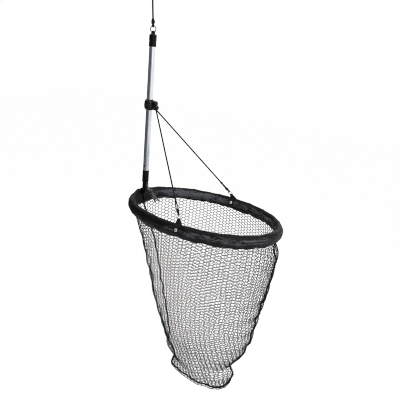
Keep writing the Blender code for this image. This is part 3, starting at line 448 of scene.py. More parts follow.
def bar_outline(stations: Sequence[tuple[float, float, float]]) -> Profile:
    """Outline of a bent bar with round ends, through stations of (x, z, breadth)."""
    line = smooth(stations, 8)
    left, right = [], []
    for i, knot in enumerate(line):
        heading = (line[min(i + 1, len(line) - 1)] - line[max(i - 1, 0)]).to_2d().normalized()
        across = Vector((-heading.y, heading.x)) * knot.z / 2.0
        left.append(knot.to_2d() + across)
        right.append(knot.to_2d() - across)
    caps = [[centre + Matrix.Rotation(-math.pi * i / 12, 2) @ (start - centre) for i in range(1, 12)]
            for centre, start in ((line[-1].to_2d(), left[-1]), (line[0].to_2d(), right[0]))]
    return [tuple(point) for point in left + caps[0] + right[::-1] + caps[1]]


def strip_faces(count: int) -> list[Point]:
    """Points round a flat strip as (share of its half width, face): across one face and back on the other."""
    return [((1.0 - 2.0 * i / (count - 1)) * face, face) for face in (1.0, -1.0) for i in range(count)]


def ripple(x: float, y: float, z: float) -> float:
    """A smooth value between about -1 and 1 at a place, the same in each run."""
    return noise.noise(Vector((x, y, z)))


def rod(radius: float, reach: float, at: Vector, axis: Vector = OVER, steps: int = 48) -> Piece:
    """A plain cylinder to both sides of a point, as a cutter."""
    return turned("cutter", [(radius, -reach), (radius, reach)], axis, at, steps)


def box(low: Sequence[float], high: Sequence[float]) -> Piece:
    """A box between two corners, as a cutter."""
    outline = [(low[0], low[2]), (high[0], low[2]), (high[0], high[2]), (low[0], high[2])]
    return slab("cutter", outline, -high[1], -low[1])


# Cord lay


@dataclass(frozen=True)
class Lay:
    """The surface of a laid cord: strands that all wind the same way."""

    strands: int
    pitch: float
    height: float

    def __call__(self, run: np.ndarray, angle: np.ndarray) -> np.ndarray:
        """Extra radius of round strands side by side, for tube()."""
        phase = (angle / TURN + run / self.pitch) * self.strands
        return self.height * (np.abs(np.sin(math.pi * phase)) - 1.0)


@dataclass(frozen=True)
class Plait(Lay):
    """The surface of a round plaited cord: strands that cross over and under each other."""

    def __call__(self, run: np.ndarray, angle: np.ndarray) -> np.ndarray:
        """Extra radius: strands that wind one way lie on top where those of the other way dive."""
        left = angle / TURN * self.strands + run / self.pitch
        right = angle / TURN * self.strands - run / self.pitch
        on_top = (np.floor(left) + np.floor(right)) % 2.0 == 0.0
        across = np.where(on_top, left % 1.0, right % 1.0) - 0.5
        lengthways = np.where(on_top, right % 1.0, left % 1.0) - 0.5
        crown = np.sqrt(np.clip(1.0 - (1.8 * across) ** 2, 0.0, 1.0)) * np.cos(math.pi * lengthways * 0.9)
        return self.height * (crown - 0.85)


def helix(foot: Vector, axis: Vector, radius: float, pitch: float, turns: float) -> list[Vector]:
    """Points of wraps round an axis, from the foot up.

    Args:
        foot: where the wraps start on the axis.
        axis: the way that they climb.
        radius: to their centre line.
        pitch: climb in a turn.
        turns: number of turns.

    Returns:
        The centre line.
    """
    first, second, along = basis(axis)
    per_turn = 28
    made = []
    for i in range(int(turns * per_turn) + 1):
        turn = TURN * i / per_turn
        spoke = first * math.cos(turn) + second * math.sin(turn)
        made.append(foot + spoke * radius + along * pitch * i / per_turn)
    return made


# Materials

# Length of one wave of the Wave texture at scale 1
WAVE_RUN = 0.314


def linear(code: str) -> tuple[float, float, float, float]:
    """A colour written as sRGB hex, as the linear values that a shader takes."""
    parts = [int(code[i:i + 2], 16) / 255.0 for i in (1, 3, 5)]
    return (*(p / 12.92 if p <= 0.04045 else ((p + 0.055) / 1.055) ** 2.4 for p in parts), 1.0)


def add_node(tree: Tree, kind: str, sockets: dict[str | int, Any] | None = None, **settings: Any) -> Node:
    """Add a node with its settings and links.

    Args:
        tree: the node tree.
        kind: the node's type.
        sockets: values for its inputs; an output is linked, and of a node its first output.
        settings: the node's properties.

    Returns:
        The new node.
    """
    node = tree.nodes.new(kind)
    for name, value in settings.items():
        setattr(node, name, value)
    for name, value in (sockets or {}).items():
        if isinstance(value, bpy.types.Node):
            value = value.outputs[0]
        if isinstance(value, bpy.types.NodeSocket):
            tree.links.new(value, node.inputs[name])
        else:
            node.inputs[name].default_value = value
    return node


def on_object(tree: Tree, kind: str, scale: float, sockets: dict[str, Any], **settings: Any) -> Node:
    """A texture node on Object coordinates, at a scale in cells to the metre."""
    place = add_node(tree, "ShaderNodeTexCoord").outputs["Object"]
    return add_node(tree, kind, {"Vector": place, "Scale": scale} | sockets, **settings)


@dataclass(frozen=True)
class Finish:
    """A surface: its name, its two shades, and how it takes light."""

    name: str
    shade: str
    light_shade: str
    roughness: float
    metallic: float = 0.0
    slot: str = ""
    specular: float = 0.5
    sheen: float = 0.0
    sheen_roughness: float = 0.5
    light_stop: float = 0.7
    spread: float = 0.08
    depth: float = 0.01 * MM

    def pattern(self, tree: Tree) -> tuple[Source, Source, Source]:
        """What mixes the shades, varies the roughness and raises the surface, each from about 0 to 1."""
        raise NotImplementedError

    def colour(self, tree: Tree, share: Source) -> bpy.types.NodeSocket:
        """The two shades, mixed by a share."""
        ramp = add_node(tree, "ShaderNodeValToRGB", {"Fac": share})
        stops = ((0.3, self.shade), (self.light_stop, self.light_shade))
        for stop, (place, code) in zip(ramp.color_ramp.elements, stops):
            stop.position, stop.color = place, linear(code)
        return ramp.outputs["Color"]

    @cache
    def make(self) -> bpy.types.Material:
        """The finish as a Blender material, made once.

        Returns:
            The material. Its roughness varies by the spread to both sides, the depth is that of its bumps.
        """
        made = bpy.data.materials.new(self.name)
        made.use_nodes = True
        tree = made.node_tree
        inputs = tree.nodes["Principled BSDF"].inputs
        for name, value in (("Metallic", self.metallic), ("Specular IOR Level", self.specular),
                            ("Sheen Weight", self.sheen), ("Sheen Roughness", self.sheen_roughness)):
            inputs[name].default_value = value
        share, gloss, height = self.pattern(tree)
        uneven = add_node(tree, "ShaderNodeMapRange", {"Value": gloss, "To Min": self.roughness - self.spread,
                                                       "To Max": self.roughness + self.spread})
        bump = add_node(tree, "ShaderNodeBump", {"Distance": self.depth, "Height": height})
        for name, source in (("Base Color", self.colour(tree, share)),
                             ("Roughness", uneven.outputs["Result"]),
                             ("Normal", bump.outputs["Normal"])):
            tree.links.new(source, inputs[name])
        return made


@dataclass(frozen=True)
class AnodisedDrawnTube(Finish):
    """Clear-anodised aluminium as it was drawn: satin, with faint lines along the tube."""

    spread: float = 0.06
    depth: float = 0.002 * MM
    clouds: float = 9.0
    line_width: float = 0.35 * MM
    line_length: float = 60.0 * MM

    def pattern(self, tree: Tree) -> tuple[Source, Source, Source]:
        """Noise that is stretched along Z gives the drawing lines."""
        place = add_node(tree, "ShaderNodeTexCoord").outputs["Object"]
        scale = (1.0 / self.line_width, 1.0 / self.line_width, 1.0 / self.line_length)
        lay = add_node(tree, "ShaderNodeMapping", {"Vector": place, "Scale": scale})
        lines = add_node(tree, "ShaderNodeTexNoise", {"Vector": lay, "Scale": 1.0, "Detail": 3.0})
        return on_object(tree, "ShaderNodeTexNoise", self.clouds, {}), lines, lines


@dataclass(frozen=True)
class MouldedNylon(Finish):
    """Glass-filled nylon from a spark-eroded mould: fine pebbled grain, and convex edges mixed towards an
    edge colour, which is rub wear on the plain nylon and a painted highlight on the collar and the lever.
    """

    light_stop: float = 0.75
    spread: float = 0.07
    depth: float = 0.03 * MM
    grain: float = 0.55 * MM
    clouds: float = 140.0
    # Edge colour: rub wear at this default, a painted highlight where a finish sets it pale
    wear_and_highlight: str = "#1E1F22"
    # Pointiness where the edge colour starts and where it is full, and its strongest share
    edge_wear_and_highlight: tuple[float, float, float] = (0.53, 0.62, 0.45)

    def pattern(self, tree: Tree) -> tuple[Source, Source, Source]:
        """A cloud in the shade and the roughness, grain in the height."""
        pebbles = on_object(tree, "ShaderNodeTexVoronoi", 1.0 / self.grain, {"Smoothness": 0.6},
                            feature="SMOOTH_F1")
        cloud = on_object(tree, "ShaderNodeTexNoise", self.clouds, {"Detail": 4.0})
        return cloud, cloud, pebbles

    def colour(self, tree: Tree, share: Source) -> bpy.types.NodeSocket:
        """The shades, mixed towards the edge colour on the convex edges: rub wear on the plain nylon, a
        painted highlight where the edge colour is pale.
        """
        shape = add_node(tree, "ShaderNodeNewGeometry")
        edge = add_node(tree, "ShaderNodeMapRange",
                        {"Value": shape.outputs["Pointiness"], "From Min": self.edge_wear_and_highlight[0],
                         "From Max": self.edge_wear_and_highlight[1],
                         "To Max": self.edge_wear_and_highlight[2]})
        edge_wear_and_highlight_share = add_node(tree, "ShaderNodeMath", {0: edge, 1: share}, operation="MULTIPLY")
        return add_node(tree, "ShaderNodeMix",
                        {0: edge_wear_and_highlight_share, 6: super().colour(tree, share), 7: linear(self.wear_and_highlight)},
                        data_type="RGBA").outputs[2]


@dataclass(frozen=True)
class NickelPlate(Finish):
    """Bright nickel on tumbled steel: warm, mirror-like, with faint handling haze."""

    haze: float = 1.6 * MM

    def pattern(self, tree: Tree) -> tuple[Source, Source, Source]:
        """Haze, and pits too small to see one by one."""
        cloud = on_object(tree, "ShaderNodeTexNoise", 1.0 / self.haze, {"Detail": 5.0})
        return cloud, cloud, cloud


@dataclass(frozen=True)
class SpunCord(Finish):
    """Spun polyester cord: matt strands of many filaments, a little paler where they stand up."""

    sheen: float = 0.06
    sheen_roughness: float = 0.6
    depth: float = 0.06 * MM
    filament: float = 0.22 * MM
    filament_run: float = 1.0 / 180.0
    slant: float = math.radians(35.0)

    def pattern(self, tree: Tree) -> tuple[Source, Source, Source]:
        """Filaments run slanting along the piece's own UV map."""
        run = add_node(tree, "ShaderNodeUVMap", uv_map="run")
        scale = (1.0 / self.filament_run, 1.0 / self.filament, 1.0)
        lay = add_node(tree, "ShaderNodeMapping",
                       {"Vector": run, "Rotation": (0.0, 0.0, self.slant), "Scale": scale})
        hair = add_node(tree, "ShaderNodeTexNoise", {"Vector": lay, "Scale": 1.0, "Detail": 3.0})
        return hair, hair, hair


@dataclass(frozen=True)
class KnitTwine(Finish):
    """Knotless net twine: knitted polyester loops, dull black, drawn as coarse as they need to show."""

    sheen: float = 0.04
    spread: float = 0.1
    depth: float = 0.15 * MM
    loop: float = 1.4 * MM

    def pattern(self, tree: Tree) -> tuple[Source, Source, Source]:
        """Loops too fine for the mesh of the net, as bumps."""
        loops = on_object(tree, "ShaderNodeTexVoronoi", 1.0 / self.loop, {"Smoothness": 0.5},
                          feature="SMOOTH_F1")
        return loops, loops, loops


@dataclass(frozen=True)
class CoatedSleeveCloth(Finish):
    """Coated polyester sleeve: a plain weave and a thin crinkled coat, its colour paler in painted highlight
    streaks where light falls and near black in painted shade, set by an attribute.
    """

    spread: float = 0.14
    depth: float = 0.18 * MM
    thread: float = 0.9 * MM
    crease: float = 12.0 * MM
    streak: float = 6.0 * MM
    streak_run: float = 38.4 * MM
    crinkle: float = 18.0

    def pattern(self, tree: Tree) -> tuple[Source, Source, Source]:
        """Creases are clouds in Object space, the weave follows the UV map, and the painted light and shade
        come from an attribute.

        Args:
            tree: the material's node tree.

        Returns:
            How pale the coat is painted, as painted highlight and painted shade, its creases, and weave and
            creases together.
        """
        marks = on_object(tree, "ShaderNodeTexNoise", 1.0 / self.crease,
                          {"Detail": 6.0, "Roughness": 0.62, "Distortion": 0.6})
        run = add_node(tree, "ShaderNodeUVMap", uv_map="run")
        drawn = add_node(tree, "ShaderNodeMapping",
                         {"Vector": run, "Scale": (1.0 / self.streak_run, 1.0 / self.streak, 1.0)})
        streaks = add_node(tree, "ShaderNodeTexNoise",
                           {"Vector": drawn, "Scale": 1.0, "Detail": 4.0, "Distortion": 0.8})
        cloud = add_node(tree, "ShaderNodeMix", {0: 0.6, 2: marks, 3: streaks}, data_type="FLOAT")
        # The mottle of creases and streaks, mapped to the strength of the painted highlight streaks
        wear_and_highlight = add_node(tree, "ShaderNodeMapRange",
                        {"Value": cloud, "From Min": 0.34, "From Max": 0.66, "To Min": 0.3, "To Max": 1.5})
        # Painted light: paler where light falls on the band, darker in its shade
        painted_light = add_node(tree, "ShaderNodeAttribute", attribute_name="painted_light").outputs["Fac"]
        pale = add_node(tree, "ShaderNodeMath", {0: wear_and_highlight, 1: painted_light}, operation="MULTIPLY", use_clamp=True)
        weave = []
        for turn in (0.0, math.pi / 2.0):
            lay = add_node(tree, "ShaderNodeMapping", {"Vector": run, "Rotation": (0.0, 0.0, turn)})
            threads = add_node(tree, "ShaderNodeTexWave",
                               {"Vector": lay, "Scale": WAVE_RUN / self.thread / 2.0, "Distortion": 0.4})
            weave.append(threads.outputs["Fac"])
        cross = add_node(tree, "ShaderNodeMath", dict(enumerate(weave)), operation="MULTIPLY")
        crinkle = add_node(tree, "ShaderNodeMath", {0: cloud, 1: self.crinkle}, operation="MULTIPLY")
        return pale, cloud, add_node(tree, "ShaderNodeMath", {0: cross, 1: crinkle}, operation="ADD")


@dataclass(frozen=True)
class RibbedWeave(Finish):
    """Narrow woven goods, such as webbing and ribbon: ribs across a fine warp."""

    sheen: float = 0.06
    depth: float = 0.2 * MM
    rib: float = 1.1 * MM
    clouds: float = 160.0

    def pattern(self, tree: Tree) -> tuple[Source, Source, Source]:
        """Ribs lie across the strip, whose UV map runs along it, and the warp is 1.7 times as fine."""
        run = add_node(tree, "ShaderNodeUVMap", uv_map="run")
        ribs = add_node(tree, "ShaderNodeTexWave",
                        {"Vector": run, "Scale": WAVE_RUN / self.rib, "Distortion": 0.3, "Detail": 1.0})
        warp = add_node(tree, "ShaderNodeTexWave",
                        {"Vector": run, "Scale": WAVE_RUN / self.rib * 1.7, "Distortion": 0.2},
                        bands_direction="Y")
        cross = add_node(tree, "ShaderNodeMath", {0: ribs.outputs["Fac"], 1: warp.outputs["Fac"]},
                         operation="MULTIPLY")
        return on_object(tree, "ShaderNodeTexNoise", self.clouds, {"Detail": 3.0}), cross, cross


@dataclass(frozen=True)
class GrainyCore(Finish):
    """What is hidden in the sleeve: cellular foam, or a pulled rod with its fibres."""

    spread: float = 0.05
    depth: float = 0.1 * MM
    cell: float = 0.8 * MM

    def pattern(self, tree: Tree) -> tuple[Source, Source, Source]:
        """Cells in the colour, the gloss and the height."""
        cells = on_object(tree, "ShaderNodeTexVoronoi", 1.0 / self.cell, {})
        return cells, cells, cells


ANODISED_TUBE = AnodisedDrawnTube("anodised_drawn_aluminium", "#DDE1E5", "#EAEDF0", 0.26, 1.0,
                                  "satin_aluminium")
NICKEL = NickelPlate("nickel_plated_steel", "#CFCCC6", "#EBE9E4", 0.2, 1.0, "nickel_steel")
# Tin on brass, its colour pushed to pure white as a painted highlight on the eyelets
EYELET_TIN = NickelPlate("tinned_brass_painted_highlight", "#F8F8F6", "#FFFFFF", 0.5, 1.0, "nickel_steel")
RING_STEEL = NickelPlate("tumbled_steel_wire", "#66676C", "#87888D", 0.3, 1.0, "nickel_steel")
BLACK_STEEL = NickelPlate("blackened_steel", "#1B1B1D", "#2A2A2C", 0.42, 1.0, "nickel_steel")
NYLON = MouldedNylon("moulded_black_nylon", "#050506", "#0D0D10", 0.42, 0.0, "black_plastic", 0.14)
# Black nylon of the collar: its pale edge colour is a painted highlight on its rounded edges
COLLAR_NYLON = MouldedNylon("black_nylon_painted_highlight", "#060607", "#17171A", 0.34, 0.0, "black_plastic", 0.3,
                            wear_and_highlight="#505157")
# Black nylon of the lever: its grey shades and pale edge colour are a painted highlight
LEVER_NYLON = MouldedNylon("nylon_grey_painted_highlight", "#4B4C52", "#62636A", 0.4, 0.0, "black_plastic", 0.4,
                           wear_and_highlight="#84858B")
CORD = SpunCord("spun_black_cord", "#050506", "#121214", 0.8, 0.0, "black_cord", 0.15)
TWINE = KnitTwine("knitted_net_twine", "#040405", "#0E0E10", 0.7, 0.0, "net_cord", 0.12)
SEAM_CORD = SpunCord("spun_seam_cord", "#030304", "#0C0C0E", 0.8, 0.0, "net_cord", 0.12)
# Its light shade is the colour of the painted highlight streaks; in painted shade the cloth stays near black
SLEEVE_CLOTH = CoatedSleeveCloth("coated_sleeve_cloth", "#040405", "#595B61", 0.55, 0.0, "band_cloth", 0.18)
WEBBING = RibbedWeave("black_webbing", "#060608", "#141417", 0.75, 0.0, "black_webbing", 0.2)
RIBBON = RibbedWeave("olive_ribbon", "#50504A", "#75756A", 0.7, 0.0, "olive_ribbon", 0.2, rib=0.6 * MM,
                     depth=0.1 * MM)
FOAM = GrainyCore("closed_cell_foam", "#4A4A4D", "#5C5C60", 0.9, 0.0, "grey_foam")
GLASS_ROD = GrainyCore("pulled_glass_fibre", "#242427", "#35353A", 0.4, 0.0, "glass_fibre_rod", cell=0.5 * MM)


def dress(piece: Piece, finish: Finish, body: Body, *nodes: str) -> Piece:
    """Give a finished piece its looks and its place in the frame.

    Args:
        piece: the piece.
        finish: its finish, which gives its material.
        body: what it rides on.
        nodes: the CAD nodes that it stands for.

    Returns:
        The same piece.
    """
    piece.data.materials.clear()
    piece.data.materials.append(finish.make())
    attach(piece, body.value)
    if nodes:
        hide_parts(*nodes)
    log.info("%s rides on %s, %d faces", piece.name, body.value, len(piece.data.polygons))
    return piece


# Geometry Nodes


def open_group(name: str, **sizes: float) -> tuple[Tree, bpy.types.bpy_prop_collection, Node]:
    """Start a geometry node tree that grows something along the lines of a wire mesh.

    Args:
        name: name of the tree.
        sizes: its named inputs.

    Returns:
        The tree, its inputs by name and the lines as curves.
    """
    tree = bpy.data.node_groups.new(name, "GeometryNodeTree")
    for way in ("INPUT", "OUTPUT"):
        tree.interface.new_socket("Geometry", in_out=way, socket_type="NodeSocketGeometry")
    for label, value in sizes.items():
        tree.interface.new_socket(label, in_out="INPUT", socket_type="NodeSocketFloat").default_value = value
    inputs = tree.nodes.new("NodeGroupInput").outputs
    return tree, inputs, add_node(tree, "GeometryNodeMeshToCurve", {"Mesh": inputs["Geometry"]})


def close_group(tree: Tree, geometry: Node, finish: Finish) -> Tree:
    """End a tree in Realize Instances and Set Material.

    Args:
        tree: the tree.
        geometry: the node with what it made.
        finish: the finish of what grows.

    Returns:
        The same tree.
    """
    real = add_node(tree, "GeometryNodeRealizeInstances", {"Geometry": geometry})
    painted = add_node(tree, "GeometryNodeSetMaterial", {"Geometry": real, "Material": finish.make()})
    add_node(tree, "NodeGroupOutput", {"Geometry": painted})
    return tree


def close_strands(tree: Tree, curve: Node, diameter: Source, sides: Any, finish: Finish) -> Tree:
    """End a tree in round strands along its curves.

    Args:
        tree: the tree.
        curve: the node with the curves.
        diameter: the strands' diameter.
        sides: how many sides they have.
        finish: the finish of what grows.

    Returns:
        The same tree.
    """
    half = add_node(tree, "ShaderNodeMath", {0: diameter, 1: 2.0}, operation="DIVIDE")
    ring = add_node(tree, "GeometryNodeCurvePrimitiveCircle", {"Resolution": sides, "Radius": half},
                    mode="RADIUS")
    strands = add_node(tree, "GeometryNodeCurveToMesh",
                       {"Curve": curve, "Profile Curve": ring, "Fill Caps": True})
    return close_group(tree, strands, finish)


def grow(piece: Piece, tree: Tree, **sizes: float) -> Piece:
    """Run a tree on a piece with the given sizes, and keep the result as its mesh.

    Args:
        piece: what it runs on.
        tree: the tree.
        sizes: its inputs by name.

    Returns:
        The same piece.
    """
    change = piece.modifiers.new("grow", "NODES")
    change.node_group = tree
    for item in tree.interface.items_tree:
        if item.in_out == "INPUT" and item.name in sizes:
            change[item.identifier] = sizes[item.name]
    return bake(piece)


def strand_tree(finish: Finish) -> Tree:
    """Round strands along every line of a wire mesh."""
    tree, inputs, lines = open_group("strands", Diameter=1.0 * MM, Sides=5.0)
    return close_strands(tree, lines, inputs["Diameter"], inputs["Sides"], finish)


def lacing_tree(finish: Finish) -> Tree:
    """Twine that winds round a line, as the lacing that binds a net to its seam cord.

    Args:
        finish: the finish of what grows.

    Returns:
        The tree.
    """
    tree, inputs, lines = open_group("lacing", Diameter=1.2 * MM, Reach=2.0 * MM, Pitch=10.0 * MM,
                                     Step=0.8 * MM)
    even = add_node(tree, "GeometryNodeResampleCurve", {"Curve": lines, "Length": inputs["Step"]},
                    mode="LENGTH")
    run = add_node(tree, "GeometryNodeSplineParameter").outputs["Length"]
    turns = add_node(tree, "ShaderNodeMath", {0: run, 1: inputs["Pitch"]}, operation="DIVIDE")
    angle = add_node(tree, "ShaderNodeMath", {0: turns, 1: TURN}, operation="MULTIPLY")
    spun = add_node(tree, "ShaderNodeVectorRotate",
                    {"Vector": add_node(tree, "GeometryNodeInputNormal"),
                     "Axis": add_node(tree, "GeometryNodeInputTangent"), "Angle": angle},
                    rotation_type="AXIS_ANGLE")
    reach = add_node(tree, "ShaderNodeVectorMath", {0: spun, "Scale": inputs["Reach"]}, operation="SCALE")
    wound = add_node(tree, "GeometryNodeSetPosition", {"Geometry": even, "Offset": reach})
    return close_strands(tree, wound, inputs["Diameter"], 6, finish)


def stitch_tree(finish: Finish) -> Tree:
    """Short stitches of thread along every line of a wire mesh.

    Args:
        finish: the finish of what grows.

    Returns:
        The tree.
    """
    tree, inputs, lines = open_group("stitches", Diameter=0.8 * MM, Stitch=4.0 * MM, Pitch=6.0 * MM)
    even = add_node(tree, "GeometryNodeResampleCurve", {"Curve": lines, "Length": inputs["Pitch"]},
                    mode="LENGTH")
    heading = add_node(tree, "GeometryNodeInputTangent")
    aim = add_node(tree, "FunctionNodeAlignRotationToVector", {"Vector": heading}, axis="Z")
    half = add_node(tree, "ShaderNodeMath", {0: inputs["Diameter"], 1: 2.0}, operation="DIVIDE")
    bead = add_node(tree, "GeometryNodeMeshUVSphere", {"Segments": 8, "Rings": 6, "Radius": half})
    share = add_node(tree, "ShaderNodeMath", {0: inputs["Stitch"], 1: inputs["Diameter"]}, operation="DIVIDE")
    size = add_node(tree, "ShaderNodeCombineXYZ", {"X": 1.0, "Y": 1.0, "Z": share})
    sewn = add_node(tree, "GeometryNodeInstanceOnPoints",
                    {"Points": even, "Instance": bead, "Rotation": aim, "Scale": size})
    return close_group(tree, sewn, finish)


def wire(name: str, lines: Iterable[Sequence[Sequence[float]]]) -> Piece:
    """A mesh of lines only, for the trees that grow on them.

    Args:
        name: name of the piece.
        lines: points along each line.

    Returns:
        The piece.
    """
    points: list[tuple[float, ...]] = []
    edges: list[tuple[int, int]] = []
    for line in lines:
        first = len(points)
        points.extend(tuple(point) for point in line)
        edges.extend((k, k + 1) for k in range(first, len(points) - 1))
    mesh = bpy.data.meshes.new(name)
    mesh.from_pydata(points, edges, [])
    return new_piece(name, mesh)


# Sub-assemblies


@dataclass
class Studio:
    """The camera at the photograph's angle, soft lamps, a pale floor and a white room."""

    eye: tuple[float, float, float] = (1.1114, -1.4569, 0.0432)
    yaw: float = math.radians(30.61)
    pitch: float = math.radians(19.34)
    roll: float = math.radians(5.29)
    lens: float = 45.0
    floor_height: float = -2.4
    floor_half: float = 12.0
    floor_glow: float = 0.9
    floor_level: float = 1.03
    room_light: float = 0.62
    aim: tuple[float, float, float] = (0.25, 0.0, -0.5)
    lamps: tuple[tuple[str, tuple[float, float, float], float, float], ...] = (
        ("key_softbox", (1.9, -1.3, 1.2), 1.6, 30.0), ("fill_softbox", (-1.8, -1.4, 0.4), 1.4, 6.0),
        ("rim_softbox", (0.4, 2.2, 0.8), 1.6, 14.0))
    flag_distance: float = 1.5
    flag_heights: tuple[float, float] = (-1.6, 0.9)
    flags: tuple[tuple[float, float, str], ...] = ((14.0, 150.0, "#505256"), (-16.0, 14.0, "#A2A4A8"))

    def axes(self) -> tuple[Vector, Vector, Vector]:
        """The camera's right, up and look directions."""
        right = Vector((math.cos(self.yaw), math.sin(self.yaw), 0.0))
        ahead = Vector((-math.sin(self.yaw), math.cos(self.yaw), 0.0))
        look = ahead * math.cos(self.pitch) - UP * math.sin(self.pitch)
        up = ahead * math.sin(self.pitch) + UP * math.cos(self.pitch)
        return (right * math.cos(self.roll) + up * math.sin(self.roll),
                up * math.cos(self.roll) - right * math.sin(self.roll), look)

    def build_camera(self) -> None:
        """Stand the camera where the photograph was taken from."""
        right, up, look = self.axes()
        data = bpy.data.cameras.new("studio_camera")
        data.lens = self.lens
        data.clip_end = 60.0
        camera = new_piece("studio_camera", data)
        turn = Matrix((right, up, -look)).transposed()
        camera.matrix_world = Matrix.Translation(Vector(self.eye)) @ turn.to_4x4()
        bpy.context.scene.camera = camera

    @staticmethod
    def emptied(owner: bpy.types.Material | bpy.types.World) -> Tree:
        """The node tree of a new material or world, with nothing in it."""
        owner.use_nodes = True
        owner.node_tree.nodes.clear()
        return owner.node_tree

    @staticmethod
    def seen_rays(tree: Tree) -> Node:
        """1 for the rays that see the white background: the eye's, and those that metal or glass sends on."""
        path = add_node(tree, "ShaderNodeLightPath").outputs
        bright = add_node(tree, "ShaderNodeMath", {0: path["Is Glossy Ray"], 1: path["Is Transmission Ray"]},
                          operation="MAXIMUM")
        return add_node(tree, "ShaderNodeMath", {0: path["Is Camera Ray"], 1: bright}, operation="MAXIMUM")

    def build_world(self) -> None:
        """A room that the eye and bright metal see as white."""
        world = bpy.data.worlds.new("white_room")
        tree = self.emptied(world)
        seen = self.seen_rays(tree)
        plain, white = (add_node(tree, "ShaderNodeBackground",
                                 {"Color": linear("#FFFFFF"), "Strength": level})
                        for level in (self.room_light, 1.0))
        mixed = add_node(tree, "ShaderNodeMixShader", {0: seen, 1: plain, 2: white})
        add_node(tree, "ShaderNodeOutputWorld", {"Surface": mixed})
        bpy.context.scene.world = world

    def build_floor(self) -> None:
        """White studio paper that shows white to the eye and still takes a shadow."""
        made = bpy.data.materials.new("studio_paper")
        tree = self.emptied(made)
        paper = add_node(tree, "ShaderNodeBsdfDiffuse", {"Color": linear("#FFFFFF")})
        glow = add_node(tree, "ShaderNodeEmission",
                        {"Color": linear("#FFFFFF"), "Strength": self.floor_level})
        share = add_node(tree, "ShaderNodeMath", {0: self.seen_rays(tree), 1: self.floor_glow},
                         operation="MULTIPLY")
        mixed = add_node(tree, "ShaderNodeMixShader", {0: share, 1: paper, 2: glow})
        add_node(tree, "ShaderNodeOutputMaterial", {"Surface": mixed})
        half = self.floor_half
        floor = slab("floor", [(-half, -half), (half, -half), (half, half), (-half, half)],
                     self.floor_height - 0.02, self.floor_height, flat=(ALONG, OVER))
        floor.data.materials.append(made)

    def build_flags(self) -> None:
        """Curved dark flags to the left that only bright metal sees, for the dark stripe down the tube."""
        look = self.axes()[2]
        back = Vector((-look.x, -look.y, 0.0)).normalized()
        for number, (start, end, shade) in enumerate(self.flags):
            ways = [Matrix.Rotation(-math.radians(start + (end - start) * i / 40), 3, "Z") @ back
                    for i in range(41)]
            low, high = np.array([[tuple(way * self.flag_distance + UP * height) for way in ways]
                                  for height in self.flag_heights])
            flag = skin(f"studio_flag_{number}", np.stack([low, high, high * 1.01, low * 1.01], 1),
                        caps=False)
            cloth = bpy.data.materials.new("flag_cloth")
            tree = self.emptied(cloth)
            glow = add_node(tree, "ShaderNodeEmission", {"Color": linear(shade), "Strength": 1.0})
            add_node(tree, "ShaderNodeOutputMaterial", {"Surface": glow})
            flag.data.materials.append(cloth)
            flag.visible_camera = flag.visible_diffuse = False
            flag.visible_shadow = flag.visible_transmission = False

    def build_lamps(self) -> None:
        """Square soft boxes: a large one above to the right, a weaker fill from the left and one behind."""
        for name, place, size, power in self.lamps:
            data = bpy.data.lights.new(name, "AREA")
            data.size = size
            data.energy = power
            lamp = new_piece(name, data)
            lamp.location = place
            lamp.rotation_euler = (Vector(self.aim) - Vector(place)).to_track_quat("-Z", "Y").to_euler()

    def build(self) -> None:
        """Everything round the object but what rides on it."""
        bpy.context.scene.view_settings.view_transform = "Standard"
        bpy.context.scene.cycles.filter_width = 1.0
        self.build_camera()
        self.build_world()
        self.build_floor()
        self.build_flags()
        self.build_lamps()


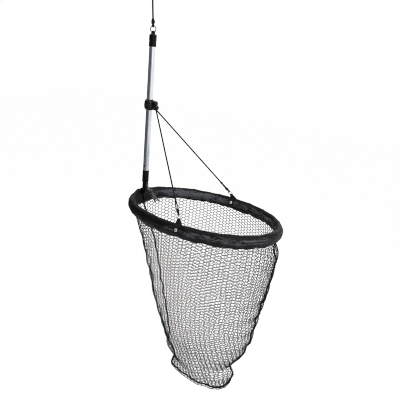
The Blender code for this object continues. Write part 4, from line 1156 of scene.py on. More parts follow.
@dataclass
class RopeLine:
    """The rope, its knots and the ring that the pole hangs on, leaning as the CAD has it."""

    lean: float = math.radians(5.2)
    ring_r: float = 11.7 * MM
    wire_d: float = 2.6 * MM
    weld: tuple[float, ...] = (0.1 * MM, 0.28 * MM, 0.36 * MM, 0.28 * MM, 0.1 * MM)
    rope_d: float = 4.5 * MM
    rope_foot: float = 46.55 * MM
    rope_top: float = 123.55 * MM
    knot_foot: float = 27.25 * MM
    knot_height: float = 19.0 * MM
    knot_turns: float = 4.4
    knot_reach: tuple[tuple[float, ...], tuple[float, ...]] = ((0.0, 0.22, 0.45, 1.0), (3.0, 4.9, 4.8, 2.3))
    bight_centre: float = 162.6 * MM
    bight_half: tuple[float, float] = (13.0 * MM, 22.0 * MM)

    def place(self, up: float, over: float = 0.0) -> Vector:
        """A point of the leaning line in the frame of the CAD: how far up it, and to its side."""
        return Matrix.Rotation(-self.lean, 3, "Y") @ Vector((over, 0.0, up))

    def route(self, steps: int) -> list[Vector]:
        """The rope's centre line between its two knots."""
        return [self.place(self.rope_foot + (self.rope_top - self.rope_foot) * i / steps)
                for i in range(steps + 1)]

    def build_rope(self) -> Piece:
        """The plaited rope between its two knots."""
        piece = tube("plaited_rope", self.route(190), self.rope_d + 0.6 * MM, 40,
                     relief=Plait(6, 4.6 * MM, 0.3 * MM))
        return dress(piece, CORD, Body.ROPE, "suspension_rope")

    def build_knot(self, foot: float, way: float) -> list[Piece]:
        """Tight wraps, the end that sticks out of them, and the core that they grip.

        Args:
            foot: where the wraps start, up the line.
            way: 1 where they climb, -1 where they go down.

        Returns:
            The wraps and the core.
        """
        upright = self.place(way).normalized()
        cord = self.rope_d * 0.8
        start = self.place(foot) + upright * cord * 0.5
        per_turn = 40
        first = OVER.cross(upright).normalized()
        wraps = []
        for i in range(int(self.knot_turns * per_turn) + 1):
            share = i / (self.knot_turns * per_turn)
            reach = float(np.interp(share, *self.knot_reach)) * MM
            angle = TURN * i / per_turn
            spoke = first * math.cos(angle) + upright.cross(first) * math.sin(angle)
            wraps.append(start + upright * cord * 1.02 * self.knot_turns * share + spoke * reach)
        out = (wraps[-1] - self.place(foot + way * 18.0 * MM)).normalized()
        tail = smooth([wraps[-1], wraps[-1] + out * 0.8 * MM + upright * 1.6 * MM,
                       wraps[-1] + out * 1.4 * MM + upright * 4.0 * MM], 8)
        core = [self.place(foot + way * (19.4 * i / 12 - 1.0) * MM) for i in range(13)]
        return [tube("wraps", wraps + tail[1:], cord, 20, relief=Plait(5, 3.8 * MM, 0.22 * MM)),
                tube("core", core, self.rope_d * 1.3, 20)]

    def build_ring_knot(self) -> Piece:
        """The small loop round the ring's wire and the wraps above it."""
        loop_r = self.wire_d / 2.0 + GAP + self.rope_d / 2.0
        loop = circle(self.place(2.0 * self.ring_r), OVER, self.place(1.0), loop_r, 72)
        parts = self.build_knot(self.knot_foot, 1.0)
        parts.append(tube("loop", loop, self.rope_d, 24, closed=True, relief=Plait(6, 3.02 * MM, 0.25 * MM)))
        return dress(merged("rope_ring_knot_plaited", parts), CORD, Body.ROPE, "rope_ring_knot")

    def build_top_loop(self) -> Piece:
        """The loop that the rope is hooked up by, just above the picture."""
        bight = oval(self.place(self.bight_centre), self.place(0.0, self.bight_half[0]),
                     self.place(self.bight_half[1]), 180)
        parts = self.build_knot(self.rope_top + GAP + self.knot_height, -1.0)
        parts.append(tube("bight", bight, self.rope_d, 28, closed=True, relief=Plait(6, 4.5 * MM, 0.3 * MM)))
        return dress(merged("rope_top_bight", parts), CORD, Body.ROPE, "rope_top_loop")

    def build_ring(self) -> None:
        """The welded wire ring, a little thicker at its weld."""
        path = circle(self.place(self.ring_r), self.place(0.0, 1.0), self.place(1.0), self.ring_r, 120)
        girth = np.full(len(path), self.wire_d)
        girth[8:13] += self.weld
        dress(tube("hanging_ring_wire", path, girth, 24, closed=True), RING_STEEL, Body.ROPE, "hanging_ring")

    def build(self) -> None:
        """All the pieces of the line."""
        rope = self.build_rope()
        top = self.build_top_loop()
        knot = self.build_ring_knot()
        self.build_ring()


@dataclass
class HoopPath:
    """The oval that the hoop's rod follows, and the directions at a place on it."""

    centre: float = 266.0 * MM
    half_length: float = 287.5 * MM
    half_width: float = 187.5 * MM
    steps: int = 22

    def point(self, angle: float) -> Vector:
        """The point at an angle, counted from the far end towards the far side."""
        return Vector((self.centre + self.half_length * math.cos(angle), self.half_width * math.sin(angle),
                       HOOP_LEVEL))

    def outward(self, angle: float) -> Vector:
        """The level direction out of the hoop at an angle."""
        way = Vector((self.half_width * math.cos(angle), self.half_length * math.sin(angle), 0.0))
        return way.normalized()

    def tab_angles(self) -> Point:
        """The two corners of the CAD's hoop that a tab stands between."""
        step = math.pi / self.steps
        return step * (self.steps // 2), step * (self.steps // 2 - 1)

    def pinch(self, angle: float) -> float:
        """How hard a tab squeezes the band at an angle: 1 under the tab, 0 away from it."""
        return math.exp(-((abs(angle) - math.pi * (self.steps - 1) / 2.0 / self.steps) / 0.046) ** 2)


@dataclass
class TabFrame:
    """Where a tab stands on the band, and the directions of its neck, ring and stay."""

    side: Side
    hoop: HoopPath
    neck: float = 17.0 * MM
    lean_angle: float = math.radians(18.0)
    ring_d: float = 19.0 * MM

    def __post_init__(self) -> None:
        """Work out the frame as the CAD does."""
        before, after = (self.hoop.point(self.side.value * angle) for angle in self.hoop.tab_angles())
        self.knot = Vector((EAR_HOLE[0], 0.0, EAR_HOLE[1] - COLLAR_DROP - LOOP_DROP))
        self.seat = (before + after) / 2.0
        self.along = (after - before).normalized()
        self.outward = self.along.cross(UP).normalized()
        if self.outward.y * self.side.value < 0.0:
            self.outward = -self.outward
        self.top = self.seat + UP * (BAND_HALF[1] + GAP)
        pull = self.knot - self.top
        rise = (pull - ALONG * pull.dot(ALONG)).normalized()
        self.lean = (rise * math.cos(self.lean_angle) - ALONG * math.sin(self.lean_angle)).normalized()
        self.cross = (ALONG - self.lean * ALONG.dot(self.lean)).normalized()
        self.thick = self.cross.cross(self.lean).normalized()
        if self.thick.dot(self.outward) < 0.0:
            self.thick = -self.thick
        self.ring_r = (self.ring_d - RING_WIRE) / 2.0
        self.ring_at = self.top + self.lean * (self.neck + self.ring_r)
        self.towards = (self.knot - self.ring_at).normalized()
        self.hold = self.ring_at + self.towards * self.ring_r


@dataclass
class Stay:
    """One stay: the taut cord, and its bound eye round the ring of a tab."""

    tab: TabFrame
    lay_d: float = 4.5 * MM
    knot_d: float = 9.0 * MM
    eye_length: float = 46.0 * MM
    strand_d: float = 3.3 * MM
    # The strands of the near eye turn about each other and gape
    eye_half: tuple[float, float] = (3.1 * MM, 1.55 * MM)
    eye_twist: tuple[float, float] = (math.radians(80.0), 0.0)
    stations: tuple[Point, ...] = ((0.97, 0.4), (0.8, 0.62), (0.58, 1.15), (0.42, 1.1), (0.24, 0.6),
                                   (0.04, 0.72))
    bundle: tuple[tuple[float, ...], tuple[float, ...]] = ((0.1, 0.14, 0.24, 0.32), (6.5, 9.6, 9.0, 5.0))
    whippings: tuple[tuple[float, float, float], ...] = ((0.08, 5.6, 3.6 * MM), (0.84, 3.4, 2.9 * MM))

    def __post_init__(self) -> None:
        """The two ends of the cord, as the CAD has them."""
        self.loop_r = RING_WIRE / 2.0 + GAP + STAY_D / 2.0
        self.eye_foot = self.tab.hold + self.tab.towards * self.loop_r
        self.start = self.tab.knot - self.tab.towards * (self.knot_d / 2.0 + GAP)
        self.end = self.eye_foot + self.tab.towards * (self.eye_length + GAP)

    def route(self, steps: int) -> list[Vector]:
        """The cord's centre line, from the collar down."""
        return [self.start.lerp(self.end, i / steps) for i in range(steps + 1)]

    def build_cord(self) -> None:
        """The plaited cord, from the collar down to the eye."""
        label = self.tab.side.label
        piece = tube(label + "_stay_plaited", self.route(620), self.lay_d, 26,
                     relief=Plait(5, 3.9 * MM, 0.26 * MM))
        piece.data.materials.append(CORD.make())
        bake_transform(piece)
        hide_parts(label + "_stay_cord")

    def eye_axis(self, share: float) -> Vector:
        """The place at a share of the eye's length."""
        return self.eye_foot + self.tab.towards * self.eye_length * share

    def build_eye(self) -> None:
        """A narrow bight round the ring's wire, whipped near the ring and again where it joins the cord."""
        tab, label = self.tab, self.tab.side.label
        across = tab.cross.cross(tab.lean).normalized()
        spread = (across - tab.towards * across.dot(tab.towards)).normalized()
        half, twist = (pair[0 if tab.side is Side.NEAR else 1] for pair in (self.eye_half, self.eye_twist))

        def strand(share: float, gape: float, sign: float) -> Vector:
            """A point of one of the two strands, which turn about each other above the ring."""
            turn = Matrix.Rotation(twist * min(1.0, max(0.0, share - 0.04) / 0.36), 3, tab.towards)
            return self.eye_axis(share) + turn @ spread * half * gape * sign

        under = [tab.hold + (spread * math.cos(t) - tab.towards * math.sin(t)) * self.loop_r
                 for t in (math.pi * i / 8 for i in range(9))]
        bight = smooth([strand(*station, 1.0) for station in self.stations] + under
                       + [strand(*station, -1.0) for station in self.stations[::-1]], 9)
        shares = np.linspace(self.bundle[0][0], self.bundle[0][-1], 34)
        girth = np.interp(shares, *self.bundle) * MM
        parts = [tube("bight", bight, self.strand_d, 20, relief=Plait(5, 3.0 * MM, 0.2 * MM)),
                 tube("bundle", [self.eye_axis(share) for share in shares], girth, 20)]
        for share, turns, reach in self.whippings:
            wraps = helix(self.eye_axis(share), tab.towards, reach, 2.0 * MM, turns)
            parts.append(tube("whipping", wraps, 1.9 * MM, 12, relief=Lay(3, 3.0 * MM, 0.15 * MM)))
        dress(merged(label + "_stay_bight", parts), CORD, Body.HOOP, label + "_stay_eye")


@dataclass
class Tab:
    """A webbing tab: the strap over the band, its pinched neck, the ring in its fold and its two eyelets."""

    frame: TabFrame
    width: float = 22.0 * MM
    fold_width: float = 10.5 * MM
    thickness: float = 1.4 * MM
    end_rise: float = 2.5 * MM
    eyelet_d: float = 11.6 * MM
    eyelet_rise: float = 5.2 * MM
    neck_line: tuple[tuple[float, float, float], ...] = (
        (0.16, 0.95, 2.3), (0.34, 0.88, 1.5), (0.52, 0.78, 1.05), (0.7, 0.66, 1.0), (0.88, 0.54, 1.1))

    def strap_line(self, sign: float) -> list[tuple[Vector, Vector, Vector, float]]:
        """Stations up one face of the band and the neck, as (place, width way, outer way, width).

        Args:
            sign: 1 for the outer face and -1 for the inner one.

        Returns:
            Stations from the strap's end up to the fold.
        """
        tab = self.frame
        reach = (BAND_HALF[0] + GAP + self.thickness / 2.0, BAND_HALF[1] + GAP + self.thickness / 2.0)
        low = -math.asin((BAND_HALF[1] - self.end_rise) / reach[1])
        stations = []
        for i in range(17):
            t = low + (math.radians(74.0) - low) * i / 16
            outer = (tab.outward * sign * math.cos(t) / reach[0] + UP * math.sin(t) / reach[1]).normalized()
            place = tab.seat + tab.outward * sign * reach[0] * math.cos(t) + UP * reach[1] * math.sin(t)
            stations.append((place, tab.along, outer, self.width))
        layer = self.thickness / 2.0 + 0.35 * MM
        for share, width, spread in self.neck_line:
            across = tab.along.lerp(tab.cross, min(1.0, share * 1.6)).normalized()
            outer = tab.outward.lerp(tab.thick, min(1.0, share * 1.6)).normalized() * sign
            place = tab.top + tab.lean * tab.neck * share + outer * layer * spread
            stations.append((place, across, outer, self.width * width))
        return stations

    def build_strap(self) -> None:
        """One strap: up the outer face, round the ring's wire and down the inner face."""
        tab = self.frame
        turn_r = RING_WIRE / 2.0 + GAP + self.thickness / 2.0
        fold = []
        for i in range(9):
            t = math.pi * i / 8
            outer = tab.thick * math.cos(t) + tab.lean * math.sin(t)
            fold.append((tab.top + tab.lean * tab.neck + outer * turn_r, tab.cross, outer, self.fold_width))
        stations = self.strap_line(1.0) + fold + self.strap_line(-1.0)[::-1]
        rows = smooth([(*place, *across, *outer, width) for place, across, outer, width in stations], 3)
        rings = []
        for row in rows:
            place = Vector(row[0:3])
            across, outer = Vector(row[3:6]).normalized(), Vector(row[6:9]).normalized()
            half, thick = row[9] / 2.0, self.thickness / 2.0
            gather = 1.0 - row[9] / self.width
            ring = []
            for share, face in strip_faces(12):
                edge = 1.0 if abs(share) < 0.95 else 0.45
                crimp = gather * 1.3 * MM * math.cos(3.0 * math.pi * share)
                ring.append(tuple(place + across * half * share + outer * (face * thick * edge + crimp)))
            rings.append(ring)
        piece = outwards(skin(tab.side.label + "_tab_strap", np.array(rings)))
        dress(piece, WEBBING, Body.HOOP, tab.side.label + "_hoop_tab")

    def build_ring(self) -> None:
        """The wire ring between the tab and the stay."""
        tab = self.frame
        path = circle(tab.ring_at, tab.cross, tab.lean, tab.ring_r, 96)
        dress(tube(tab.side.label + "_ring_wire", path, RING_WIRE, 20, closed=True), NICKEL, Body.HOOP,
              tab.side.label + "_stay_ring")

    def build_eyelets(self) -> None:
        """The rolled flanges that clench the tab, one on each face, each round a sunk floor."""
        tab = self.frame
        rim = self.eyelet_d / 2.0
        barrel = rim * 0.34
        over = (BAND_HALF[0] + GAP + self.thickness, BAND_HALF[1] + GAP + self.thickness)
        turn = math.asin(self.eyelet_rise / over[1])
        profile = softened([(barrel, -0.6 * MM), (rim, -0.1 * MM), (rim, 0.35 * MM), (rim * 0.78, 1.05 * MM),
                            (barrel * 1.25, 1.0 * MM), (barrel, 0.5 * MM)], 0.5 * MM, closed=True)
        for face, sign in (("outer", 1.0), ("inner", -1.0)):
            outer = tab.outward * sign
            heading = (outer * math.cos(turn) / over[0] + UP * math.sin(turn) / over[1]).normalized()
            at = tab.seat + outer * over[0] * math.cos(turn) + UP * self.eyelet_rise + heading * GAP
            name = f"{tab.side.label}_{face}_eyelet"
            piece = turned(name + "_flange", profile, heading, at, 48, loop=True)
            wall = [(barrel * 1.05, -0.55 * MM), (barrel * 1.05, -0.35 * MM)]
            floor = turned("floor", wall, heading, at, 32)
            dress(merged(name + "_clench", [piece, floor]), EYELET_TIN, Body.HOOP, name)

    def build_stitches(self) -> None:
        """Two rows of bar tacks that close the neck under the ring."""
        tab = self.frame
        rows = []
        for share in (0.44, 0.56):
            place = tab.top + tab.lean * tab.neck * share
            for sign in (-1.0, 1.0):
                outer = tab.thick * sign * (self.thickness + 0.9 * MM)
                rows.append([place + outer - tab.cross * 3.2 * MM, place + outer + tab.cross * 3.2 * MM])
        piece = grow(wire(tab.side.label + "_tab_stitches", rows), stitch_tree(CORD), Diameter=0.7 * MM,
                     Stitch=1.4 * MM, Pitch=1.0 * MM)
        dress(piece, CORD, Body.HOOP)

    def build(self) -> None:
        """Everything of one tab."""
        self.build_strap()
        self.build_ring()
        self.build_eyelets()
        self.build_stitches()


@dataclass
class Pole:
    """The tube with its cap, its foot and the rivets in them."""

    tube_d: float = 22.0 * MM
    tube_wall: float = 1.5 * MM
    cap_d: float = 25.5 * MM
    cap_depth: float = 46.0 * MM
    shoulder: float = 5.5 * MM
    roof: float = 12.0 * MM
    lug_d: float = 17.6 * MM
    lug_top: float = 7.0 * MM
    lug_thickness: float = 4.0 * MM
    eye_d: float = 6.0 * MM
    eye_drop: float = 1.05 * MM
    foot_d: float = 23.8 * MM
    foot_top: float = 76.0 * MM
    foot_bottom: float = 28.0 * MM
    fork_r: float = 10.0 * MM
    tongue_width: float = 8.0 * MM
    tongue_r: float = 9.5 * MM
    cap_rivet: float = -31.0 * MM
    foot_rivet: float = 94.0 * MM

    def build_tube(self) -> None:
        """The drawn tube, with the small break on its ends that deburring leaves."""
        outer = self.tube_d / 2.0
        inner = outer - self.tube_wall
        top, bottom = -(self.roof + GAP), self.foot_top + GAP - HINGE_DROP
        profile = softened([(inner, bottom), (outer, bottom), (outer, top), (inner, top)], 0.4 * MM,
                           closed=True)
        dress(turned("drawn_tube", profile, UP, Vector(), 128, loop=True), ANODISED_TUBE, Body.POLE,
              "pole_tube")

    def build_cap(self) -> None:
        """The moulded cap: a deep cup with grip grooves, a rounded shoulder and the flat lug of the ring."""
        shell, bore, lug = self.cap_d / 2.0, self.tube_d / 2.0 + GAP, self.lug_d / 2.0
        groove = [(shell, -37.0 * MM), (shell - 0.7 * MM, -36.2 * MM), (shell - 0.7 * MM, -35.2 * MM),
                  (shell, -34.4 * MM)]
        grooves = [(radius, height + rise * MM) for rise in (0.0, 4.6, 9.2) for radius, height in groove]
        outside = [(bore, -self.cap_depth), (shell - 0.8 * MM, -self.cap_depth),
                   (shell, -self.cap_depth + 0.8 * MM)]
        shoulder = [(shell, -8.7 * MM), (shell - 0.47 * MM, -7.1 * MM), (shell - 1.58 * MM, -6.0 * MM),
                    (lug, -4.5 * MM), (lug, 0.0), (lug * 0.8, self.lug_top * 0.55),
                    (lug * 0.42, self.lug_top * 0.9), (0.0, self.lug_top)]
        inside = [(0.0, -self.roof), (bore, -self.roof)]
        profile = softened(inside + outside + grooves + shoulder, 0.5 * MM)
        cap = turned("moulded_cap", profile, UP, Vector(), 96)
        flat, far = self.lug_thickness / 2.0, shell + 5.0 * MM
        sides = [box((low, -far, -self.shoulder), (high, far, self.lug_top + 5.0 * MM))
                 for low, high in ((-far, -flat), (flat, far))]
        carve(cap, sides, "DIFFERENCE")
        carve(cap, [rod(self.eye_d / 2.0, shell, Vector((0.0, 0.0, -self.eye_drop)), ALONG)], "DIFFERENCE")
        dress(eased(cap, 0.35 * MM), NYLON, Body.POLE, "pole_cap")

    def build_rivet(self, name: str, span: float, height: float) -> None:
        """A tubular rivet across the pole with a domed head at each end.

        Args:
            name: its CAD node.
            span: the width that it holds.
            height: where it lies on the pole.
        """
        seat, head, tall = span / 2.0 + GAP, 3.3 * MM, 1.3 * MM
        upper = [(1.8 * MM, seat), (head, seat), (head, seat + tall * 0.35), (head * 0.62, seat + tall * 0.9),
                 (head * 0.2, seat + tall), (0.0, seat + tall)]
        piece = turned(name + "_domed", softened(both_ends(upper), 0.35 * MM), TOWARDS_NEAR,
                       Vector((0.0, 0.0, height)), 40)
        dress(piece, BLACK_STEEL, Body.POLE, name)

    def build_foot(self) -> None:
        """The moulded foot: plug, grooved barrel, and a fork for the tongue and the lever."""
        plug, barrel = self.tube_d / 2.0 - self.tube_wall - GAP, self.foot_d / 2.0
        top = self.foot_top
        groove = [(barrel, 0.0), (barrel - 0.6 * MM, 0.7 * MM), (barrel - 0.6 * MM, 1.6 * MM),
                  (barrel, 2.3 * MM)]
        grooves = [(radius, height + rise * MM) for rise in (58.0, 62.6, 67.2) for radius, height in groove]
        profile = [(0.0, self.foot_bottom), (barrel - 3.0 * MM, self.foot_bottom),
                   (barrel - 0.8 * MM, 31.0 * MM), (barrel, 32.6 * MM), *grooves,
                   (barrel, top - 0.8 * MM), (barrel - 0.8 * MM, top), (plug, top),
                   (plug, top + 33.4 * MM), (plug - 1.6 * MM, top + 35.0 * MM), (0.0, top + 35.0 * MM)]
        hinge = Vector((0.0, 0.0, -HINGE_DROP))
        foot = turned("moulded_foot", softened(profile, 0.45 * MM), UP, hinge, 96)
        half = FORK_WIDTH / 2.0
        outline = link_outline((0.0, 0.0), self.fork_r, (0.6 * MM, 24.0 * MM), 9.6 * MM, 28)
        neck = slab("neck", outline, -half, half, hinge)
        around = turned("round", [(self.fork_r, -20.0 * MM), (self.fork_r, 40.0 * MM)], UP, hinge, 72)
        carve(neck, [around], "INTERSECT")
        lever = Vector((LEVER_PIN[0], 0.0, LEVER_PIN[1]))
        bosses = [rod(7.8 * MM, half, hinge), rod(3.4 * MM, half, hinge + lever)]
        carve(foot, [neck, *bosses], "UNION")
        slot, wide = self.tongue_width / 2.0 + GAP, self.foot_d
        low = -HINGE_DROP - wide
        pocket = 4.1 * MM
        tools = [box((-wide, -slot, low), (wide, slot, self.tongue_r + GAP - HINGE_DROP)),
                 box((0.8 * MM, -pocket, low), (wide, pocket, 26.7 * MM - HINGE_DROP)),
                 rod(3.3 * MM, wide, hinge),
                 rod(1.8 * MM, wide, Vector((LEVER_PIN[0], 0.0, LEVER_PIN[1] - HINGE_DROP)))]
        carve(foot, tools, "DIFFERENCE")
        dress(eased(foot, 0.4 * MM), NYLON, Body.POLE, "pole_foot")

    def build(self) -> None:
        """Everything that is fixed to the tube but the collar and the hinge."""
        self.build_tube()
        self.build_cap()
        self.build_foot()
        self.build_rivet("cap_rivet", self.cap_d, self.cap_rivet)
        self.build_rivet("foot_rivet", self.tube_d, self.foot_rivet - HINGE_DROP)


@dataclass
class FoldingHinge:
    """The hinge in the fork: pin, washers, nut, tongue, lock lever, its pin and its spring."""

    foot_end: float = -21.2074 * MM
    pin_d: float = 6.0 * MM
    head_d: float = 11.0 * MM
    head_height: float = 3.2 * MM
    nut_across: float = 10.0 * MM
    nut_height: float = 5.0 * MM
    washer_d: float = 12.5 * MM
    washer_thickness: float = 1.0 * MM
    lever_width: float = 7.6 * MM
    spring_wire: float = 0.7 * MM
    spring_turns: float = 2.5
    # In millimetres from the lever's pin: its centre line as (x, z, breadth), and the ribs for the thumb
    lever_line: tuple[tuple[float, float, float], ...] = (
        (0.0, 0.0, 7.4), (3.7, -5.2, 5.2), (6.1, -10.5, 4.4), (7.3, -15.0, 4.6), (12.4, -18.1, 3.4),
        (19.0, -19.4, 3.0), (25.5, -18.6, 4.0))
    lever_ribs: tuple[Point, ...] = ((20.6, -17.9), (22.8, -17.5), (25.0, -16.9))

    def __post_init__(self) -> None:
        """Where the two pins cross the middle plane."""
        self.at = Vector((0.0, 0.0, -HINGE_DROP))
        self.lever_at = Vector((LEVER_PIN[0], 0.0, LEVER_PIN[1] - HINGE_DROP))

    def build_pin(self) -> None:
        """A button-head pin with a hexagon socket, and threads past the nut."""
        at = self.at
        half = FORK_WIDTH / 2.0
        seat = half + 2.0 * GAP + self.washer_thickness
        shank, head, tall = self.pin_d / 2.0, self.head_d / 2.0, self.head_height
        end = seat + self.nut_height + 1.2 * MM
        threads = [(shank - (0.45 * MM if i % 2 else 0.0), -end + 0.8 * MM + 0.5 * MM * i) for i in range(12)]
        profile = [(0.0, -end), (shank - 0.8 * MM, -end), *threads, (shank, -half), (shank, seat),
                   (head, seat), (head, seat + tall * 0.4), (head * 0.8, seat + tall * 0.85),
                   (head * 0.4, seat + tall), (0.0, seat + tall)]
        pin = turned("button_head_pin", softened(profile, 0.25 * MM, 2), TOWARDS_NEAR, at, 48)
        socket = slab("socket", hexagon(1.9 * MM), seat + tall - 1.8 * MM, seat + tall + 1.0 * MM, at)
        carve(pin, [socket], "DIFFERENCE")
        dress(eased(pin, 0.12 * MM), BLACK_STEEL, Body.POLE, "hinge_pin")
        for side in Side:
            low = half + GAP if side is Side.NEAR else -half - GAP - self.washer_thickness
            rim, bore, high = self.washer_d / 2.0, shank + GAP, low + self.washer_thickness
            ring = softened([(bore, low), (rim, low), (rim, high), (bore, high)], 0.2 * MM, closed=True)
            piece = turned(side.label + "_washer_pressed", ring, TOWARDS_NEAR, at, 56, loop=True)
            dress(piece, BLACK_STEEL, Body.POLE, side.label + "_hinge_washer")
        nut = hex_nut("locking_nut", self.nut_across, self.nut_height, shank + GAP, at, -seat)
        dress(nut, BLACK_STEEL, Body.POLE, "hinge_nut")

    def build_tongue(self) -> None:
        """The tongue: a ribbed arm, a hub on the pin and a cross socket on the two ends of the hoop's rod."""
        at = self.at
        drop = HOOP_LEVEL + HINGE_DROP
        arm = link_outline((self.foot_end, drop), 5.9 * MM, (0.0, 0.0), 9.5 * MM, 28)
        tongue = slab("moulded_tongue", arm, -4.0 * MM, 4.0 * MM, at)
        socket_at = Vector((self.foot_end, 0.0, HOOP_LEVEL))
        collar = softened(both_ends([(7.0 * MM, 9.4 * MM), (6.4 * MM, 11.0 * MM), (0.0, 11.0 * MM)]),
                          0.4 * MM)
        carve(tongue, [turned("socket", collar, OVER, socket_at, 56)], "UNION")
        waist = link_outline((self.foot_end * 0.62, drop * 0.62), 2.2 * MM,
                             (self.foot_end * 0.45, drop * 0.45), 2.8 * MM, 12)
        recesses = [slab("recess", waist, low, high, at)
                    for low, high in ((2.9 * MM, 6.0 * MM), (-6.0 * MM, -2.9 * MM))]
        carve(tongue, [rod(4.3 * MM, 20.0 * MM, socket_at), rod(3.3 * MM, 20.0 * MM, at), *recesses],
              "DIFFERENCE")
        dress(eased(tongue, 0.35 * MM), NYLON, Body.HOOP, "hinge_tongue")

    def build_lever(self) -> None:
        """The curled lock lever with three ribs for the thumb, turning on a riveted pin."""
        half = self.lever_width / 2.0
        outline = bar_outline([(x * MM, z * MM, breadth * MM) for x, z, breadth in self.lever_line])
        lever = slab("moulded_lever", outline, -half, half, self.lever_at)
        ribs = [rod(0.7 * MM, half - 0.8 * MM, self.lever_at + Vector((x * MM, 0.0, z * MM)), steps=16)
                for x, z in self.lever_ribs]
        carve(lever, ribs, "UNION")
        room = [(5.7 * MM, -self.lever_width), (5.7 * MM, half - 4.2 * MM)]
        spring_room = turned("cutter", room, TOWARDS_NEAR, self.lever_at, 40)
        carve(lever, [rod(1.8 * MM, 10.0 * MM, self.lever_at), spring_room], "DIFFERENCE")
        dress(eased(lever, 0.45 * MM), LEVER_NYLON, Body.LEVER, "lock_lever")
        seat, head = FORK_WIDTH / 2.0 + GAP, 2.6 * MM
        upper = [(1.5 * MM, seat), (head, seat), (head, seat + 0.6 * MM), (head - 0.4 * MM, seat + 1.0 * MM),
                 (0.0, seat + 1.0 * MM)]
        profile = softened(both_ends(upper), 0.25 * MM)
        pin = turned("riveted_lever_pin", profile, TOWARDS_NEAR, self.lever_at, 40)
        dress(pin, BLACK_STEEL, Body.POLE, "lever_pin")

    def build_spring(self) -> None:
        """The torsion spring beside the lever's eye."""
        coil = 1.5 * MM + GAP + self.spring_wire
        start = 0.4 * MM + self.spring_wire / 2.0 + GAP
        per_turn = 40
        count = int(self.spring_turns * per_turn)
        wire_path = []
        for i in range(count + 1):
            t = TURN * i / per_turn
            place = Vector((coil * math.cos(t), start + 0.85 * MM * i / per_turn, coil * math.sin(t)))
            wire_path.append(self.lever_at + place)
        leg = math.sqrt((5.0 * MM) ** 2 - coil ** 2)
        wire_path.insert(0, wire_path[0] - UP * leg)
        wire_path.append(wire_path[-1] - UP * leg * 0.4)
        dress(tube("torsion_spring", wire_path, self.spring_wire, 12), NICKEL, Body.POLE, "lever_spring")

    def build(self) -> None:
        """Everything of the hinge."""
        self.build_pin()
        self.build_tongue()
        self.build_lever()
        self.build_spring()


def hex_nut(name: str, across: float, height: float, bore: float, at: Vector, top: float) -> Piece:
    """A hexagon nut with chamfered corners on the far end of a pin across the pole.

    Args:
        name: name of the piece.
        across: width over its flats.
        height: its thickness.
        bore: radius of its hole.
        at: a point on the pin's axis.
        top: where its seat lies, along the way towards the near side.

    Returns:
        The nut.
    """
    corner = across / 2.0 / math.cos(math.pi / 6.0)
    nut = slab(name, hexagon(corner), top - height, top, at)
    chamfer = [(corner * 0.9, top - height - 0.01 * MM), (corner * 1.02, top - height + corner * 0.1),
               (corner * 1.02, top + 0.01 * MM)]
    carve(nut, [turned("chamfer", chamfer, TOWARDS_NEAR, at, 48)], "INTERSECT")
    carve(nut, [turned("bore", [(bore, top - height - MM), (bore, top + MM)], TOWARDS_NEAR, at, 40)],
          "DIFFERENCE")
    return eased(nut, 0.12 * MM)


